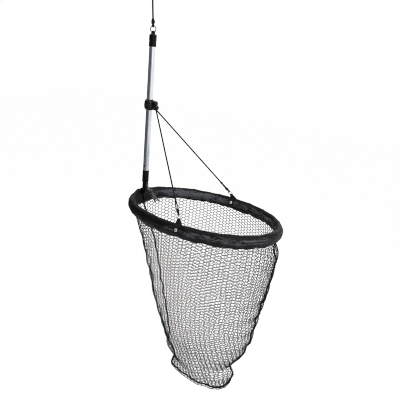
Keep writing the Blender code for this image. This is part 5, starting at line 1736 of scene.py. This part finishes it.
@dataclass
class StayCollar:
    """The split collar on the pole with its clamp screw and nut, and the knot of the stays in its ears."""

    height: float = 38.0 * MM
    shell_d: float = 37.0 * MM
    bore: float = 11.3 * MM
    edge: float = 3.5 * MM
    ear_outer: float = 14.0 * MM
    split: float = 4.0 * MM
    screw: Point = (25.0 * MM, 7.0 * MM)
    # Radii of an ear at the body and at its tip
    screw_ear: Point = (9.0 * MM, 8.0 * MM)
    hole_ear: Point = (8.0 * MM, 5.0 * MM)

    def build_collar(self) -> None:
        """The turned body, the two ears and what is cut out of them."""
        half, shell, spot = self.height / 2.0, self.shell_d / 2.0, Vector((0.0, 0.0, -COLLAR_DROP))
        upper = [(shell + 0.3 * MM, 1.5 * MM), (shell - 0.7 * MM, 3.0 * MM), (shell, 5.0 * MM),
                 (shell - 0.6 * MM, half - 2.6 * self.edge),
                 (shell - 0.6 * self.edge, half - 1.3 * self.edge),
                 (shell - 1.8 * self.edge, half - 0.2 * self.edge), (self.bore + 1.6 * MM, half), (0.0, half)]
        collar = turned("moulded_collar", softened(both_ends(upper), 1.2 * MM, 4), UP, spot, 96)
        ears = self.ear_outer / 2.0
        for tip, radii in ((self.screw, self.screw_ear), (EAR_HOLE, self.hole_ear)):
            ear = link_outline((self.bore + 1.5 * MM, tip[1]), radii[0], tip, radii[1], 24)
            carve(collar, [slab("ear", ear, -ears, ears, spot)], "UNION")
        far, slit, tall = EAR_HOLE[0] * 2.0, self.split / 2.0, half + 5.0 * MM
        at_screw, at_hole = (spot + Vector((x, 0.0, z)) for x, z in (self.screw, EAR_HOLE))
        tools = [box((self.bore / 2.0, -slit, -tall - COLLAR_DROP), (far, slit, tall - COLLAR_DROP)),
                 rod(self.bore, tall, spot, UP, 96), rod(2.3 * MM, shell, at_screw),
                 rod(2.1 * MM, shell, at_hole)]
        carve(collar, tools, "DIFFERENCE")
        dress(eased(collar, 0.6 * MM, 3), COLLAR_NYLON, Body.POLE, "stay_collar")

    def build_screw(self) -> None:
        """A cap screw with a hexagon socket, and its nut."""
        at = Vector((self.screw[0], 0.0, self.screw[1] - COLLAR_DROP))
        seat, shank, head, tall = self.ear_outer / 2.0 + GAP, 2.0 * MM, 3.8 * MM, 3.0 * MM
        end = seat + 4.4 * MM
        profile = [(0.0, -end), (shank - 0.4 * MM, -end), (shank, -end + 0.5 * MM), (shank, seat),
                   (head, seat), (head, seat + tall - 0.5 * MM), (head - 0.5 * MM, seat + tall),
                   (0.0, seat + tall)]
        screw = turned("cap_screw", softened(profile, 0.2 * MM, 2), TOWARDS_NEAR, at, 48)
        socket = slab("socket", hexagon(1.7 * MM), seat + tall - 1.6 * MM, seat + tall + 1.0 * MM, at)
        carve(screw, [socket], "DIFFERENCE")
        dress(eased(screw, 0.1 * MM), BLACK_STEEL, Body.POLE, "collar_screw")
        nut = hex_nut("clamp_nut", 7.0 * MM, 3.2 * MM, 2.3 * MM, at, -seat)
        dress(nut, BLACK_STEEL, Body.POLE, "collar_nut")

    def build_knot(self) -> None:
        """The plaited loop through the ears, the knot under them and its cut end in front of the pole."""
        centre = Vector((EAR_HOLE[0], 0.0, EAR_HOLE[1] - COLLAR_DROP - LOOP_DROP))
        bend, reach = LOOP_DROP / 2.0, self.ear_outer / 2.0 + 1.0 * MM
        path = []
        for side in (1.0, -1.0):
            for i in range(17):
                turn = -math.pi / 2.0 + math.pi * i / 16
                path.append(centre + Vector((0.0, side * (reach + bend * math.cos(turn)),
                                             bend + side * bend * math.sin(turn))))
        loop = smooth([*path, path[0]], 3)[:-1]
        lay = Plait(5, 3.4 * MM, 0.2 * MM)
        parts = [tube("loop", loop, STAY_D + 0.5 * MM, 20, closed=True, relief=lay)]
        turns = [TURN * i / 120 for i in range(120)]
        trefoil = [centre + Vector(((math.cos(t) - 2.0 * math.cos(2.0 * t)) * 1.15 * MM,
                                    (math.sin(t) + 2.0 * math.sin(2.0 * t)) * 1.15 * MM,
                                    -math.sin(3.0 * t) * 1.9 * MM)) for t in turns]
        parts.append(tube("knot", trefoil, STAY_D * 1.05, 20, closed=True, relief=lay))
        steps = ((-5.0, -5.0, 0.5), (-14.0, -13.5, -1.5), (-27.0, -16.0, -3.5))
        tail = smooth([centre, *(centre + Vector(step) * MM for step in steps)], 10)
        parts.append(tube("cut_end", tail, 2.6 * MM, 16, relief=lay))
        shares = np.linspace(-0.1, 0.72, 30)
        binding = [centre + Vector((0.0, 0.0, LOOP_DROP * share)) for share in shares]
        girth = np.interp(shares, (-0.1, 0.1, 0.5, 0.72), (6.0, 10.5, 10.0, 6.5)) * MM
        parts.append(tube("binding", binding, girth, 24))
        wraps = helix(binding[4], UP, 5.2 * MM, 2.1 * MM, 3.3)
        parts.append(tube("wraps", wraps, 2.2 * MM, 12, relief=Lay(3, 3.0 * MM, 0.15 * MM)))
        dress(merged("stay_knot_plaited", parts), CORD, Body.POLE, "stay_knot")

    def build(self) -> None:
        """Everything at the collar."""
        self.build_collar()
        self.build_screw()
        self.build_knot()


@dataclass
class SleeveBand:
    """The padded cloth sleeve round the hoop, with the flat hem that the net is sewn to."""

    hoop: HoopPath
    slit: float = 8.8 * MM
    hem_depth: float = 3.6 * MM
    start_inset: float = 1.0 * MM
    stations: int = 300
    slide_limit: float = 1.5 * MM
    push_limits: Point = (-0.3 * MM, 2.4 * MM)
    pad_half: Point = (9.4 * MM, 17.8 * MM)
    pad_bore: float = 4.4 * MM
    fuller: tuple[tuple[float, ...], tuple[float, ...]] = (
        (-180.0, -135.0, -105.0, -55.0, -25.0, 0.0, 60.0, 150.0, 180.0),
        (0.0, 0.02, 0.07, 0.07, 0.03, 0.0, -0.02, -0.03, 0.0))
    # Painted light by angle round the hoop in degrees: painted shade on the near side, painted highlight on
    # the far side
    painted_light_along: tuple[tuple[float, ...], tuple[float, ...]] = (
        (-180.0, -150.0, -110.0, -90.0, -60.0, -40.0, 0.0, 60.0, 90.0, 110.0, 135.0, 160.0, 180.0),
        (0.3, 0.08, 0.18, 0.44, 0.56, 0.58, 0.42, 0.52, 0.55, 0.84, 0.95, 0.55, 0.3))
    # Painted light by height over the band's middle, in half heights: a painted highlight along the middle,
    # painted shade at the top and bottom
    painted_light_by_height: tuple[tuple[float, ...], tuple[float, ...]] = (
        (-1.1, -0.75, -0.1, 0.35, 0.75, 0.95), (0.05, 0.4, 0.85, 1.0, 0.5, 0.0))

    def section(self, inset: float) -> Profile:
        """The outline of the band across it.

        Args:
            inset: how much smaller than the finished band.

        Returns:
            Points of (outwards, up), from the hem's outer foot round the top.
        """
        wide, tall = BAND_HALF[0] - inset, BAND_HALF[1] - inset
        low = math.radians(-66.0)
        belly = [(wide * math.cos(t), tall * math.sin(t))
                 for t in (low + (math.pi - 2.0 * low) * i / 28 for i in range(29))]
        foot = -(BAND_HALF[1] + self.hem_depth)
        lip = [(0.7 * MM, foot), (1.1 * MM, foot + 1.6 * MM), (1.6 * MM, -BAND_HALF[1] + 0.4 * MM)]
        return lip + belly + [(-x, z) for x, z in reversed(lip)]

    def angles(self) -> list[float]:
        """Angles along the hoop from one lip of the slit at the foot round to the other."""
        gap = math.asin(self.slit / 2.0 / self.hoop.half_width)
        start, end = -math.pi + gap, math.pi - gap
        return [start + (end - start) * i / (self.stations - 1) for i in range(self.stations)]

    @staticmethod
    def bunch(angle: float, spread: float) -> float:
        """How much the cloth bunches up towards the foot: 1 at the slit, 0 from a spread of angle on."""
        share = max(0.0, 1.0 - (math.pi - abs(angle)) / spread)
        return share * share * (3.0 - 2.0 * share)

    @staticmethod
    def hem_sway(angle: float) -> float:
        """How far the hem rises and falls along the band."""
        return (ripple(angle * 8.0, 3.1, 0.0) * 4.4 + ripple(angle * 21.0, 5.3, 0.0) * 2.0) * MM

    def rings(self) -> np.ndarray:
        """The band before it is filled: rings across it, closed in at the slit."""
        outline = self.section(self.start_inset)
        rings = []
        turns = self.angles()
        for k, angle in enumerate(turns):
            place, out = self.hoop.point(angle), self.hoop.outward(angle)
            near_end = min(k, len(turns) - 1 - k)
            lump = ripple(angle * 6.0, 1.7, 0.0) * 0.09 + ripple(angle * 17.0, 4.2, 0.0) * 0.06
            full = float(np.interp(math.degrees(angle), *self.fuller)) * (1.0 - self.hoop.pinch(angle))
            size = (0.92, 0.98, 1.0)[min(near_end, 2)] * (1.03 + lump + full - 0.09 * self.hoop.pinch(angle))
            broad, narrow = self.bunch(angle, 0.5), self.bunch(angle, 0.3)
            ring = []
            for x, z in outline:
                over, rise = x * size, z * size
                if x < 0.0:
                    over -= 9.0 * MM * broad * min(1.0, max(0.0, (4.0 * MM - z) / (16.0 * MM)))
                if z > 0.0:
                    rise += 7.0 * MM * narrow * z / BAND_HALF[1]
                else:
                    rise -= 12.0 * MM * broad * min(1.0, -z / BAND_HALF[1])
                rise += self.hem_sway(angle) * min(1.0, max(0.0, (-z - 10.0 * MM) / (11.0 * MM)))
                ring.append(tuple(place + out * over + UP * rise))
            rings.append(ring)
        return np.array(rings)

    def filled(self, piece: Piece, count: int) -> Piece:
        """Let the padding push the cloth out while its hem and its ends are held.

        Args:
            piece: the sleeve as it was cut.
            count: points in one ring.

        Returns:
            The same piece, filled.
        """
        held = piece.vertex_groups.new(name="held")
        total = len(piece.data.vertices)
        turns = self.angles()
        pinches = [self.hoop.pinch(turn) for turn in turns]
        sewn = [i for i in range(total) if i % count in (0, 1, 2, count - 3, count - 2, count - 1)
                or i < 2 * count or i >= total - 2 * count or pinches[min(i // count, len(turns) - 1)] > 0.35]
        held.add(sewn, 1.0, "REPLACE")
        before = np.array([tuple(v.co) for v in piece.data.vertices])
        cloth = piece.modifiers.new("cloth", "CLOTH")
        values = cloth.settings
        values.quality = 6
        values.mass = 0.3
        values.tension_stiffness = 18.0
        values.compression_stiffness = 18.0
        values.bending_stiffness = 0.35
        values.shrink_min = -0.02
        values.use_pressure = True
        values.uniform_pressure_force = 4.0
        values.vertex_group_mass = "held"
        values.effector_weights.gravity = 0.0
        scene = bpy.context.scene
        for step in range(1, 21):
            scene.frame_set(step)
        graph = bpy.context.evaluated_depsgraph_get()
        shape = piece.evaluated_get(graph).to_mesh()
        after = np.array([tuple(v.co) for v in shape.vertices])
        moved = after - before
        normals = np.array([tuple(v.normal) for v in piece.data.vertices])
        push = np.sum(moved * normals, axis=1)
        slide = moved - normals * push[:, None]
        length = np.linalg.norm(slide, axis=1)
        slide *= np.minimum(1.0, self.slide_limit / np.maximum(length, 1e-9))[:, None]
        moved = slide + normals * np.clip(push, *self.push_limits)[:, None]
        piece.modifiers.clear()
        scene.frame_set(1)
        piece.data.vertices.foreach_set("co", (before + moved).ravel())
        piece.data.update()
        log.info("the padding pushes the sleeve out by up to %.1f mm", push.max() / MM)
        return piece

    def build_padding(self) -> None:
        """The two foam pads round the rod, slit along their underside and a little uneven."""
        for side in Side:
            rings = []
            for i in range(91):
                angle = side.value * (math.radians(3.9) + math.radians(172.2) * i / 90)
                place, out = self.hoop.point(angle), self.hoop.outward(angle)
                swell = 1.0 + 0.02 * ripple(angle * 9.0, side.value * 2.0, 0.0)
                ring = []
                wide, tall = (half * swell for half in self.pad_half)
                for reach_over, reach_up, way in ((wide, tall, 1), (self.pad_bore, self.pad_bore, -1)):
                    turns = [math.radians(-88.0) + math.radians(356.0) * k / 35 for k in range(36)][::way]
                    ring += [tuple(place + out * reach_over * math.cos(t) + UP * reach_up * math.sin(t))
                             for t in turns]
                rings.append(ring)
            piece = outwards(skin(side.label + "_foam_pad", np.array(rings)))
            dress(piece, FOAM, Body.HOOP, side.label + "_hoop_foam")

    def creased(self, piece: Piece) -> Piece:
        """Small creases across the band, deeper on its inner side where the cloth has to crowd.

        Args:
            piece: the filled sleeve.

        Returns:
            The same piece, with the painted light and shade at each place as its attribute.
        """
        mesh = piece.data
        middle = Vector((self.hoop.centre, 0.0, HOOP_LEVEL))
        places, ways, marks = [], [], []
        for vert in mesh.vertices:
            spoke = vert.co - middle
            angle = math.atan2(spoke.y / self.hoop.half_width, spoke.x / self.hoop.half_length)
            run = angle * 240.0
            inner = 1.2 if vert.normal.dot(spoke) < 0.0 else 0.9
            crease = 0.35 - abs(ripple(run / 13.0 + spoke.z * 40.0, spoke.z / (22.0 * MM), 0.0))
            fold = ripple(run / 60.0, spoke.z / (9.0 * MM), 3.0)
            lump = ripple(run / 30.0, spoke.z / (40.0 * MM), 7.0)
            free = 1.0 - self.hoop.pinch(angle)
            places.append(vert.co.copy())
            ways.append(vert.normal * (crease * inner * 1.7 + fold * 0.9 + lump * 1.6) * MM * free)
            # Painted light and shade, by angle and by height
            turn = float(np.interp(math.degrees(angle), *self.painted_light_along))
            high = spoke.z / BAND_HALF[1]
            marks.append(turn * float(np.interp(high, *self.painted_light_by_height)))
        for vert, place, way in zip(mesh.vertices, places, ways):
            vert.co = place + way
        mesh.attributes.new("painted_light", "FLOAT", "POINT").data.foreach_set("value", marks)
        return piece

    def build(self) -> None:
        """The padding, the sleeve and the row of stitches in its hem."""
        self.build_padding()
        rings = self.rings()
        piece = outwards(skin("padded_sleeve", rings))
        self.filled(piece, rings.shape[1])
        finer = piece.modifiers.new("finer", "SUBSURF")
        finer.levels = finer.render_levels = 1
        self.creased(bake(piece))
        piece.data.shade_smooth()
        dress(piece, SLEEVE_CLOTH, Body.HOOP, "hoop_sleeve")
        foot = HOOP_LEVEL - BAND_HALF[1] - self.hem_depth * 0.45
        rows = []
        for sign in (-1.0, 1.0):
            rows.append([self.hoop.point(a) + self.hoop.outward(a) * sign * 1.15 * MM
                         + UP * (foot - HOOP_LEVEL + self.hem_sway(a)) for a in self.angles()[3:-3]])
        seam = grow(wire("sleeve_hem_stitches", rows), stitch_tree(SEAM_CORD), Diameter=0.9 * MM,
                    Stitch=3.6 * MM, Pitch=5.2 * MM)
        dress(seam, SEAM_CORD, Body.HOOP)


@dataclass
class BagShape:
    """The surface that the net hangs in, as two panels that meet in the seams."""

    hoop: HoopPath
    depth: float = 676.0 * MM
    rim: float = 21.3 * MM
    keel: float = 6.0 * MM
    foot_lean: float = 9.0 * MM
    fall_line: float = 300.0 * MM
    outline: tuple[tuple[float, float, float, float], ...] = (
        (0.163, -0.793, 1.023, 1.040), (0.370, -0.612, 0.953, 1.013), (0.592, -0.452, 0.856, 0.853),
        (0.814, -0.348, 0.744, 0.448))
    corners: Point = (-0.275, 0.668)
    foot_seam: tuple[Point, ...] = (
        (21.3, 0.0), (40.0, 6.0), (57.0, 15.0), (84.0, 28.0), (110.0, 44.0), (136.0, 50.0), (161.0, 65.0),
        (196.0, 70.0), (222.0, 84.0), (250.0, 86.0), (282.0, 99.0), (315.0, 101.0), (345.0, 118.0),
        (378.0, 120.0), (410.0, 136.0), (446.0, 140.0), (470.0, 152.0), (502.0, 153.0), (534.0, 166.0),
        (566.0, 160.0), (586.0, 168.0), (604.0, 184.0), (628.0, 196.0), (656.0, 190.0), (676.0, 184.0))
    far_seam: tuple[Point, ...] = (
        (21.3, 551.0), (50.0, 552.0), (84.0, 566.0), (125.0, 558.0), (160.0, 558.0), (200.0, 548.0),
        (232.0, 548.0), (268.0, 533.0), (300.0, 535.0), (336.0, 521.0), (366.0, 524.0), (400.0, 512.0),
        (436.0, 513.0), (472.0, 498.0), (500.0, 493.0), (530.0, 476.0), (560.0, 458.0), (584.0, 446.0),
        (600.0, 456.0), (622.0, 464.0), (646.0, 460.0), (676.0, 457.0))
    keel_drop: tuple[Point, ...] = (
        (0.0, 10.0), (0.1, 24.0), (0.2, 33.0), (0.35, 40.0), (0.5, 45.0), (0.6, 36.0), (0.72, 34.0),
        (0.84, 20.0), (0.94, -4.0), (1.0, -33.0))

    def __post_init__(self) -> None:
        """Lay out the rows of the outline, and sample the panels."""
        self.foot_line, self.far_line = (
            np.array([tuple(point) for point in smooth([(depth * MM, x * MM) for depth, x in line], 6)])
            for line in (self.foot_seam, self.far_seam))
        long, wide, middle = self.hoop.half_length, self.hoop.half_width, self.hoop.centre
        rows = [(self.rim, middle - long, middle + long, wide)]
        rows += [(self.depth * d, middle + long * foot, middle + long * far, wide * breadth)
                 for d, foot, far, breadth in self.outline]
        rows.append((self.depth, middle + long * self.corners[0], middle + long * self.corners[1], self.keel))
        self.rows = np.array(rows)
        self.depths = np.linspace(self.rim - 3.0 * MM, self.depth, 100)
        self.sampled = [self.half_ring(depth) for depth in self.depths]
        falls = [np.array([np.interp(0.0, ring[:, 3], ring[:, k]) for k in range(3)])
                 for ring in self.sampled]
        steps = [0.0] + [float(np.linalg.norm(b - a)) for a, b in zip(falls, falls[1:])]
        self.fall = np.cumsum(steps)

    def row_at(self, depth: float) -> np.ndarray:
        """The bag's outline at a depth.

        Args:
            depth: distance below the hoop.

        Returns:
            The places of the foot side and the far side, and the half width.
        """
        rows = self.rows
        i = int(np.clip(np.searchsorted(rows[:, 0], depth, side="right") - 1, 0, len(rows) - 2))

        def slope(k: int) -> np.ndarray:
            """How the outline runs at a row."""
            low, high = max(k - 1, 0), min(k + 1, len(rows) - 1)
            return (rows[high, 1:] - rows[low, 1:]) / (rows[high, 0] - rows[low, 0])

        span = rows[i + 1, 0] - rows[i, 0]
        t = (depth - rows[i, 0]) / span
        across = 3.0 * t ** 2 - 2.0 * t ** 3
        between = (1.0 - across) * rows[i, 1:] + across * rows[i + 1, 1:]
        bend = (t ** 3 - 2.0 * t ** 2 + t) * slope(i) + (t ** 3 - t ** 2) * slope(i + 1)
        width = float((between + span * bend)[2])
        foot, far = (float(np.interp(depth, line[:, 0], line[:, 1]))
                     for line in (self.foot_line, self.far_line))
        return np.array([foot, far, width])

    def half_ring(self, depth: float) -> np.ndarray:
        """The near half of the bag at a depth.

        Args:
            depth: distance below the hoop.

        Returns:
            Rows of x, y, z and distance from the fall line.
        """
        foot, far, wide = self.row_at(depth)
        angle = np.linspace(math.pi, 0.0, 161)
        centre, long = (foot + far) / 2.0, (far - foot) / 2.0
        share = (max(depth, 0.0) / self.depth) ** 8
        lean = self.foot_lean * float(np.interp(depth, (0.0, 90.0 * MM, 260.0 * MM), (1.0, 1.0, 0.0)))
        x = centre + long * np.cos(angle) - lean * np.abs(np.sin(angle))
        y = -wide * np.sin(angle)
        drop = np.array(self.keel_drop)
        z = HOOP_LEVEL - depth - share * MM * np.interp((x - foot) / (far - foot), drop[:, 0], drop[:, 1])
        steps = np.sqrt(np.diff(x) ** 2 + np.diff(y) ** 2 + np.diff(z) ** 2)
        run = np.concatenate([[0.0], np.cumsum(steps)])
        run -= np.interp(self.fall_line, x, run)
        return np.stack([x, y, z, run], 1)

    def at(self, side: Side, over: float, down: float) -> tuple[Vector, bool]:
        """A point of a panel.

        Args:
            side: which panel.
            over: distance from the fall line, along the hoop.
            down: distance down the fall line.

        Returns:
            The point, and whether it lies between the seams; past one, it is on the seam.
        """
        level = float(np.interp(down, self.fall, np.arange(len(self.fall))))
        low = min(int(level), len(self.sampled) - 2)
        t = level - low
        ends = [ring[[0, -1], 3] for ring in self.sampled[low:low + 2]]
        first = ends[0][0] * (1.0 - t) + ends[1][0] * t
        last = ends[0][1] * (1.0 - t) + ends[1][1] * t
        inside = first < over < last
        found = []
        for ring in self.sampled[low:low + 2]:
            share = np.clip((over - first) / (last - first), 0.0, 1.0)
            run = ring[0, 3] + (ring[-1, 3] - ring[0, 3]) * share
            found.append([np.interp(run, ring[:, 3], ring[:, k]) for k in range(3)])
        x, y, z = (np.array(found[0]) * (1.0 - t) + np.array(found[1]) * t)
        swing = self.sway(side, x, z)
        if side is Side.FAR:
            y = -y
        out = math.copysign(1.0, y)
        bulge = min(1.0, abs(y) / (30.0 * MM))
        return Vector((x + swing[0], y + out * swing[1] * bulge, z + swing[2])), inside

    def sway(self, side: Side, x: float, z: float) -> tuple[float, float, float]:
        """How far the hanging net strays from the plain surface at a place.

        Args:
            side: which panel.
            x: where along the hoop.
            z: the height.

        Returns:
            The way along, outwards and up.
        """
        spot = Vector((x / (70.0 * MM), side.value * 5.0, z / (90.0 * MM)))
        fold = Vector((x / (34.0 * MM), side.value * 9.0, z / (400.0 * MM)))
        reach = max(0.0, min(1.0, (HOOP_LEVEL - self.rim - z) / (60.0 * MM)))
        along = noise.noise(spot) * 2.4 * MM * reach
        out = (noise.noise(fold) * 5.0 + noise.noise(spot * 0.7) * 4.0) * MM * reach
        rise = noise.noise(spot + Vector((9.0, 4.0, 2.0))) * 2.6 * MM * reach
        return along, out, rise


@dataclass
class NetBag:
    """The knotless net: two panels of hexagonal mesh, laced to a cord down both sides and the bottom."""

    bag: BagShape
    twine_d: float = 2.0 * MM
    joint_d: float = 1.65 * MM
    row: float = 11.7 * MM
    joint_share: float = 0.545
    leg_cut: float = 0.17
    near_pitch: float = 17.0 * MM
    far_pitch: float = 14.2 * MM
    seam_d: float = 4.6 * MM
    selvedge_d: float = 2.0 * MM

    def panel_lines(self, side: Side) -> tuple[list[list[Vector]], list[list[Vector]]]:
        """The mesh of a panel.

        Args:
            side: which panel.

        Returns:
            Its zigzag legs and its joints.
        """
        pitch = self.near_pitch if side is Side.NEAR else self.far_pitch
        swing = pitch * (1.0 - self.joint_share) / 2.0
        rows = int(self.bag.fall[-1] / (self.row / 2.0))
        reach = int(0.5 / pitch)
        legs, joints = [], []
        cut, bottom = self.leg_cut, self.bag.fall[-1]
        inset = swing * (1.0 - 2.0 * cut)
        for column in range(-reach, reach + 1):
            base = (column + 0.5) * pitch
            line: list[Vector] = []
            for k in range(rows + 1):
                sign = 1.0 if (k + column) % 2 == 0 else -1.0
                for share in (-cut, cut):
                    down = (k + share) * self.row / 2.0
                    if not 0.0 <= down <= bottom:
                        continue
                    point, inside = self.bag.at(side, base + sign * inset, down)
                    if inside:
                        line.append(point)
                    elif line:
                        line.append(point)
                        legs.append(line)
                        line = []
                down = k * self.row / 2.0
                if sign > 0.0 and down <= bottom:
                    start, first_in = self.bag.at(side, base + inset, down)
                    end, second_in = self.bag.at(side, base + pitch - inset, down)
                    if first_in or second_in:
                        joints.append([start, end])
            if len(line) > 1:
                legs.append(line)
        return [line for line in legs if len(line) > 1], joints

    def build_panel(self, side: Side, tree: Tree) -> None:
        """One panel of net.

        Args:
            side: which panel.
            tree: the tree that makes its strands.
        """
        legs, joints = self.panel_lines(side)
        label = side.label
        grown = [grow(wire("legs", legs), tree, Diameter=self.twine_d, Sides=5.0),
                 grow(wire("joints", joints), tree, Diameter=self.joint_d, Sides=5.0),
                 grow(wire("selvedge", [self.selvedge(side)]), tree, Diameter=self.selvedge_d, Sides=6.0)]
        panel = merged(label + "_net_panel", grown)
        panel.data.shade_smooth()
        dress(panel, TWINE, Body.HOOP, "net_bag")

    def selvedge(self, side: Side) -> list[Vector]:
        """The panel's lower edge, a little below the seam that closes it."""
        bag = self.bag
        first, last = bag.sampled[-1][0, 3], bag.sampled[-1][-1, 3]
        return [bag.at(side, first + (last - first) * i / 90, bag.fall[-1])[0] for i in range(91)]

    def seam_line(self) -> list[Vector]:
        """The seam's way: down the foot side, along the bottom and up the far side."""
        bag = self.bag
        off = self.seam_d / 2.0 + GAP
        drop = np.array(bag.keel_drop)
        down, up = [], []
        for i in range(91):
            depth = bag.rim + (bag.depth - bag.rim) * i / 90
            foot, far, _ = bag.row_at(depth)
            hung = min(1.0, (depth - bag.rim) / (50.0 * MM))
            low = (depth / bag.depth) ** 8
            foot_wave = ripple(depth / (24.0 * MM), 1.0, 0.0) * 3.4 * MM * hung
            far_wave = ripple(depth / (26.0 * MM), 5.0, 0.0) * 4.5 * MM * hung
            level = HOOP_LEVEL - depth + 10.0 * MM * low
            down.append(Vector((foot - off * (1.0 - low) + foot_wave, 0.0, level - low * drop[0, 1] * MM)))
            up.append(Vector((far + off * (1.0 - low) + far_wave, 0.0, level - low * drop[-1, 1] * MM)))
        keel = []
        left, right = down[-1].x, up[-1].x
        for i in range(1, 40):
            share = i / 40.0
            x = left + (right - left) * share
            sag = float(np.interp(share, drop[:, 0], drop[:, 1])) * MM
            wave = ripple(x / (15.0 * MM), 0.0, 8.0) * 5.0 * MM
            keel.append(Vector((x, -5.0 * MM + ripple(x / (20.0 * MM), 3.0, 0.0) * 3.0 * MM,
                                HOOP_LEVEL - bag.depth - sag + 11.0 * MM + wave)))
        return smooth(down + keel + up[::-1], 2)

    def build_seam(self) -> None:
        """The seam cord and the lacing that winds round it."""
        line = self.seam_line()
        cord = tube("cord", line, self.seam_d, 14, relief=Lay(3, 12.0 * MM, 0.35 * MM))
        lacing = grow(wire("lacing", [line]), lacing_tree(SEAM_CORD), Diameter=2.3 * MM, Reach=2.7 * MM,
                      Pitch=10.0 * MM, Step=1.0 * MM)
        dress(merged("net_seam_laced", [cord, lacing]), SEAM_CORD, Body.HOOP, "net_seam_cord")

    def build(self) -> None:
        """The whole bag."""
        tree = strand_tree(TWINE)
        for side in Side:
            self.build_panel(side, tree)
        self.build_seam()


@dataclass
class BandRibbon:
    """The olive ribbon that is knotted inside the band near the foot, with two tails down the net."""

    hoop: HoopPath
    width: float = 11.0 * MM
    thickness: float = 0.9 * MM
    angle: float = math.radians(166.5)
    tails: tuple[tuple[tuple[float, float, float], ...], ...] = (
        ((0.0, 6.0, 0.0), (8.0, -8.0, 0.4), (18.0, -21.0, 0.8), (23.0, -36.0, 1.6)),
        ((4.0, 5.0, 1.3), (14.0, -7.0, 1.6), (28.0, -20.0, 1.9), (41.0, -34.0, 2.6)))

    def on_band(self, over: float, up: float, off: float) -> tuple[Vector, Vector, Vector]:
        """A place beside the band's inner face, with the directions along the band and inwards there.

        Args:
            over: distance along the band from the knot.
            up: height over the band's middle.
            off: distance inwards from its face.

        Returns:
            The place and the two directions.
        """
        arc = math.hypot(self.hoop.half_length * math.sin(self.angle),
                         self.hoop.half_width * math.cos(self.angle))
        angle = self.angle - over / arc
        out = self.hoop.outward(angle)
        reach = BAND_HALF[0] + 2.0 * GAP + self.thickness + off
        return self.hoop.point(angle) - out * reach + UP * up, Vector((out.y, -out.x, 0.0)), -out

    def tail(self, points: Sequence[Sequence[float]]) -> Piece:
        """A thin strip with a little curl, which narrows towards its cut end.

        Args:
            points: its middle line in millimetres, as (over, up, off).

        Returns:
            The strip.
        """
        line = smooth([(x * MM, z * MM, off * MM) for x, z, off in points], 8)
        rings = []
        for i, knot in enumerate(line):
            middle, heading, inward = self.on_band(*knot)
            run = (Vector(line[min(i + 1, len(line) - 1)]) - Vector(line[max(i - 1, 0)])).normalized()
            down = (heading * run.x + UP * run.y + inward * run.z).normalized()
            side = inward.cross(down).normalized()
            face = down.cross(side).normalized()
            broad = self.width * (1.0 - 0.5 * i / (len(line) - 1)) / 2.0
            rings.append([tuple(middle + side * share * broad
                                + face * (sign * self.thickness / 2.0 + (share * share - 0.4) * 0.9 * MM))
                          for share, sign in strip_faces(8)])
        return outwards(skin("tail", np.array(rings)))

    def build(self) -> None:
        """Both tails, and a wrap over them as the knot."""
        parts = [self.tail(points) for points in self.tails]
        at, heading, inward = self.on_band(3.0 * MM, 3.0 * MM, 1.2 * MM)
        wrap = oval(at, heading * 4.6 * MM, inward * 2.0 * MM, 40)
        parts.append(tube("knot", wrap, 4.0 * MM, 16, closed=True))
        dress(merged("olive_band_ribbon", parts), RIBBON, Body.HOOP, "band_ribbon")


def dress_hidden_core() -> None:
    """Give the CAD nodes that stay, inside the padding, their materials."""
    finishes = {"near_frame_arm": GLASS_ROD, "far_frame_arm": GLASS_ROD, "frame_joiner": ANODISED_TUBE}
    for name, finish in finishes.items():
        frame["nodes"][name].material_slots[0].material = finish.make()
        log.info("%s keeps its CAD shape", name)


def main() -> None:
    """Build the camera and the cords, then each sub-assembly from the rope down."""
    Studio().build()
    RopeLine().build()
    hoop = HoopPath()
    for side in Side:
        tab = TabFrame(side, hoop)
        stay = Stay(tab)
        stay.build_cord()
        stay.build_eye()
        Tab(tab).build()
    Pole().build()
    FoldingHinge().build()
    StayCollar().build()
    SleeveBand(hoop).build()
    NetBag(BagShape(hoop)).build()
    BandRibbon(hoop).build()
    dress_hidden_core()


if __name__ == "__main__":
    main()
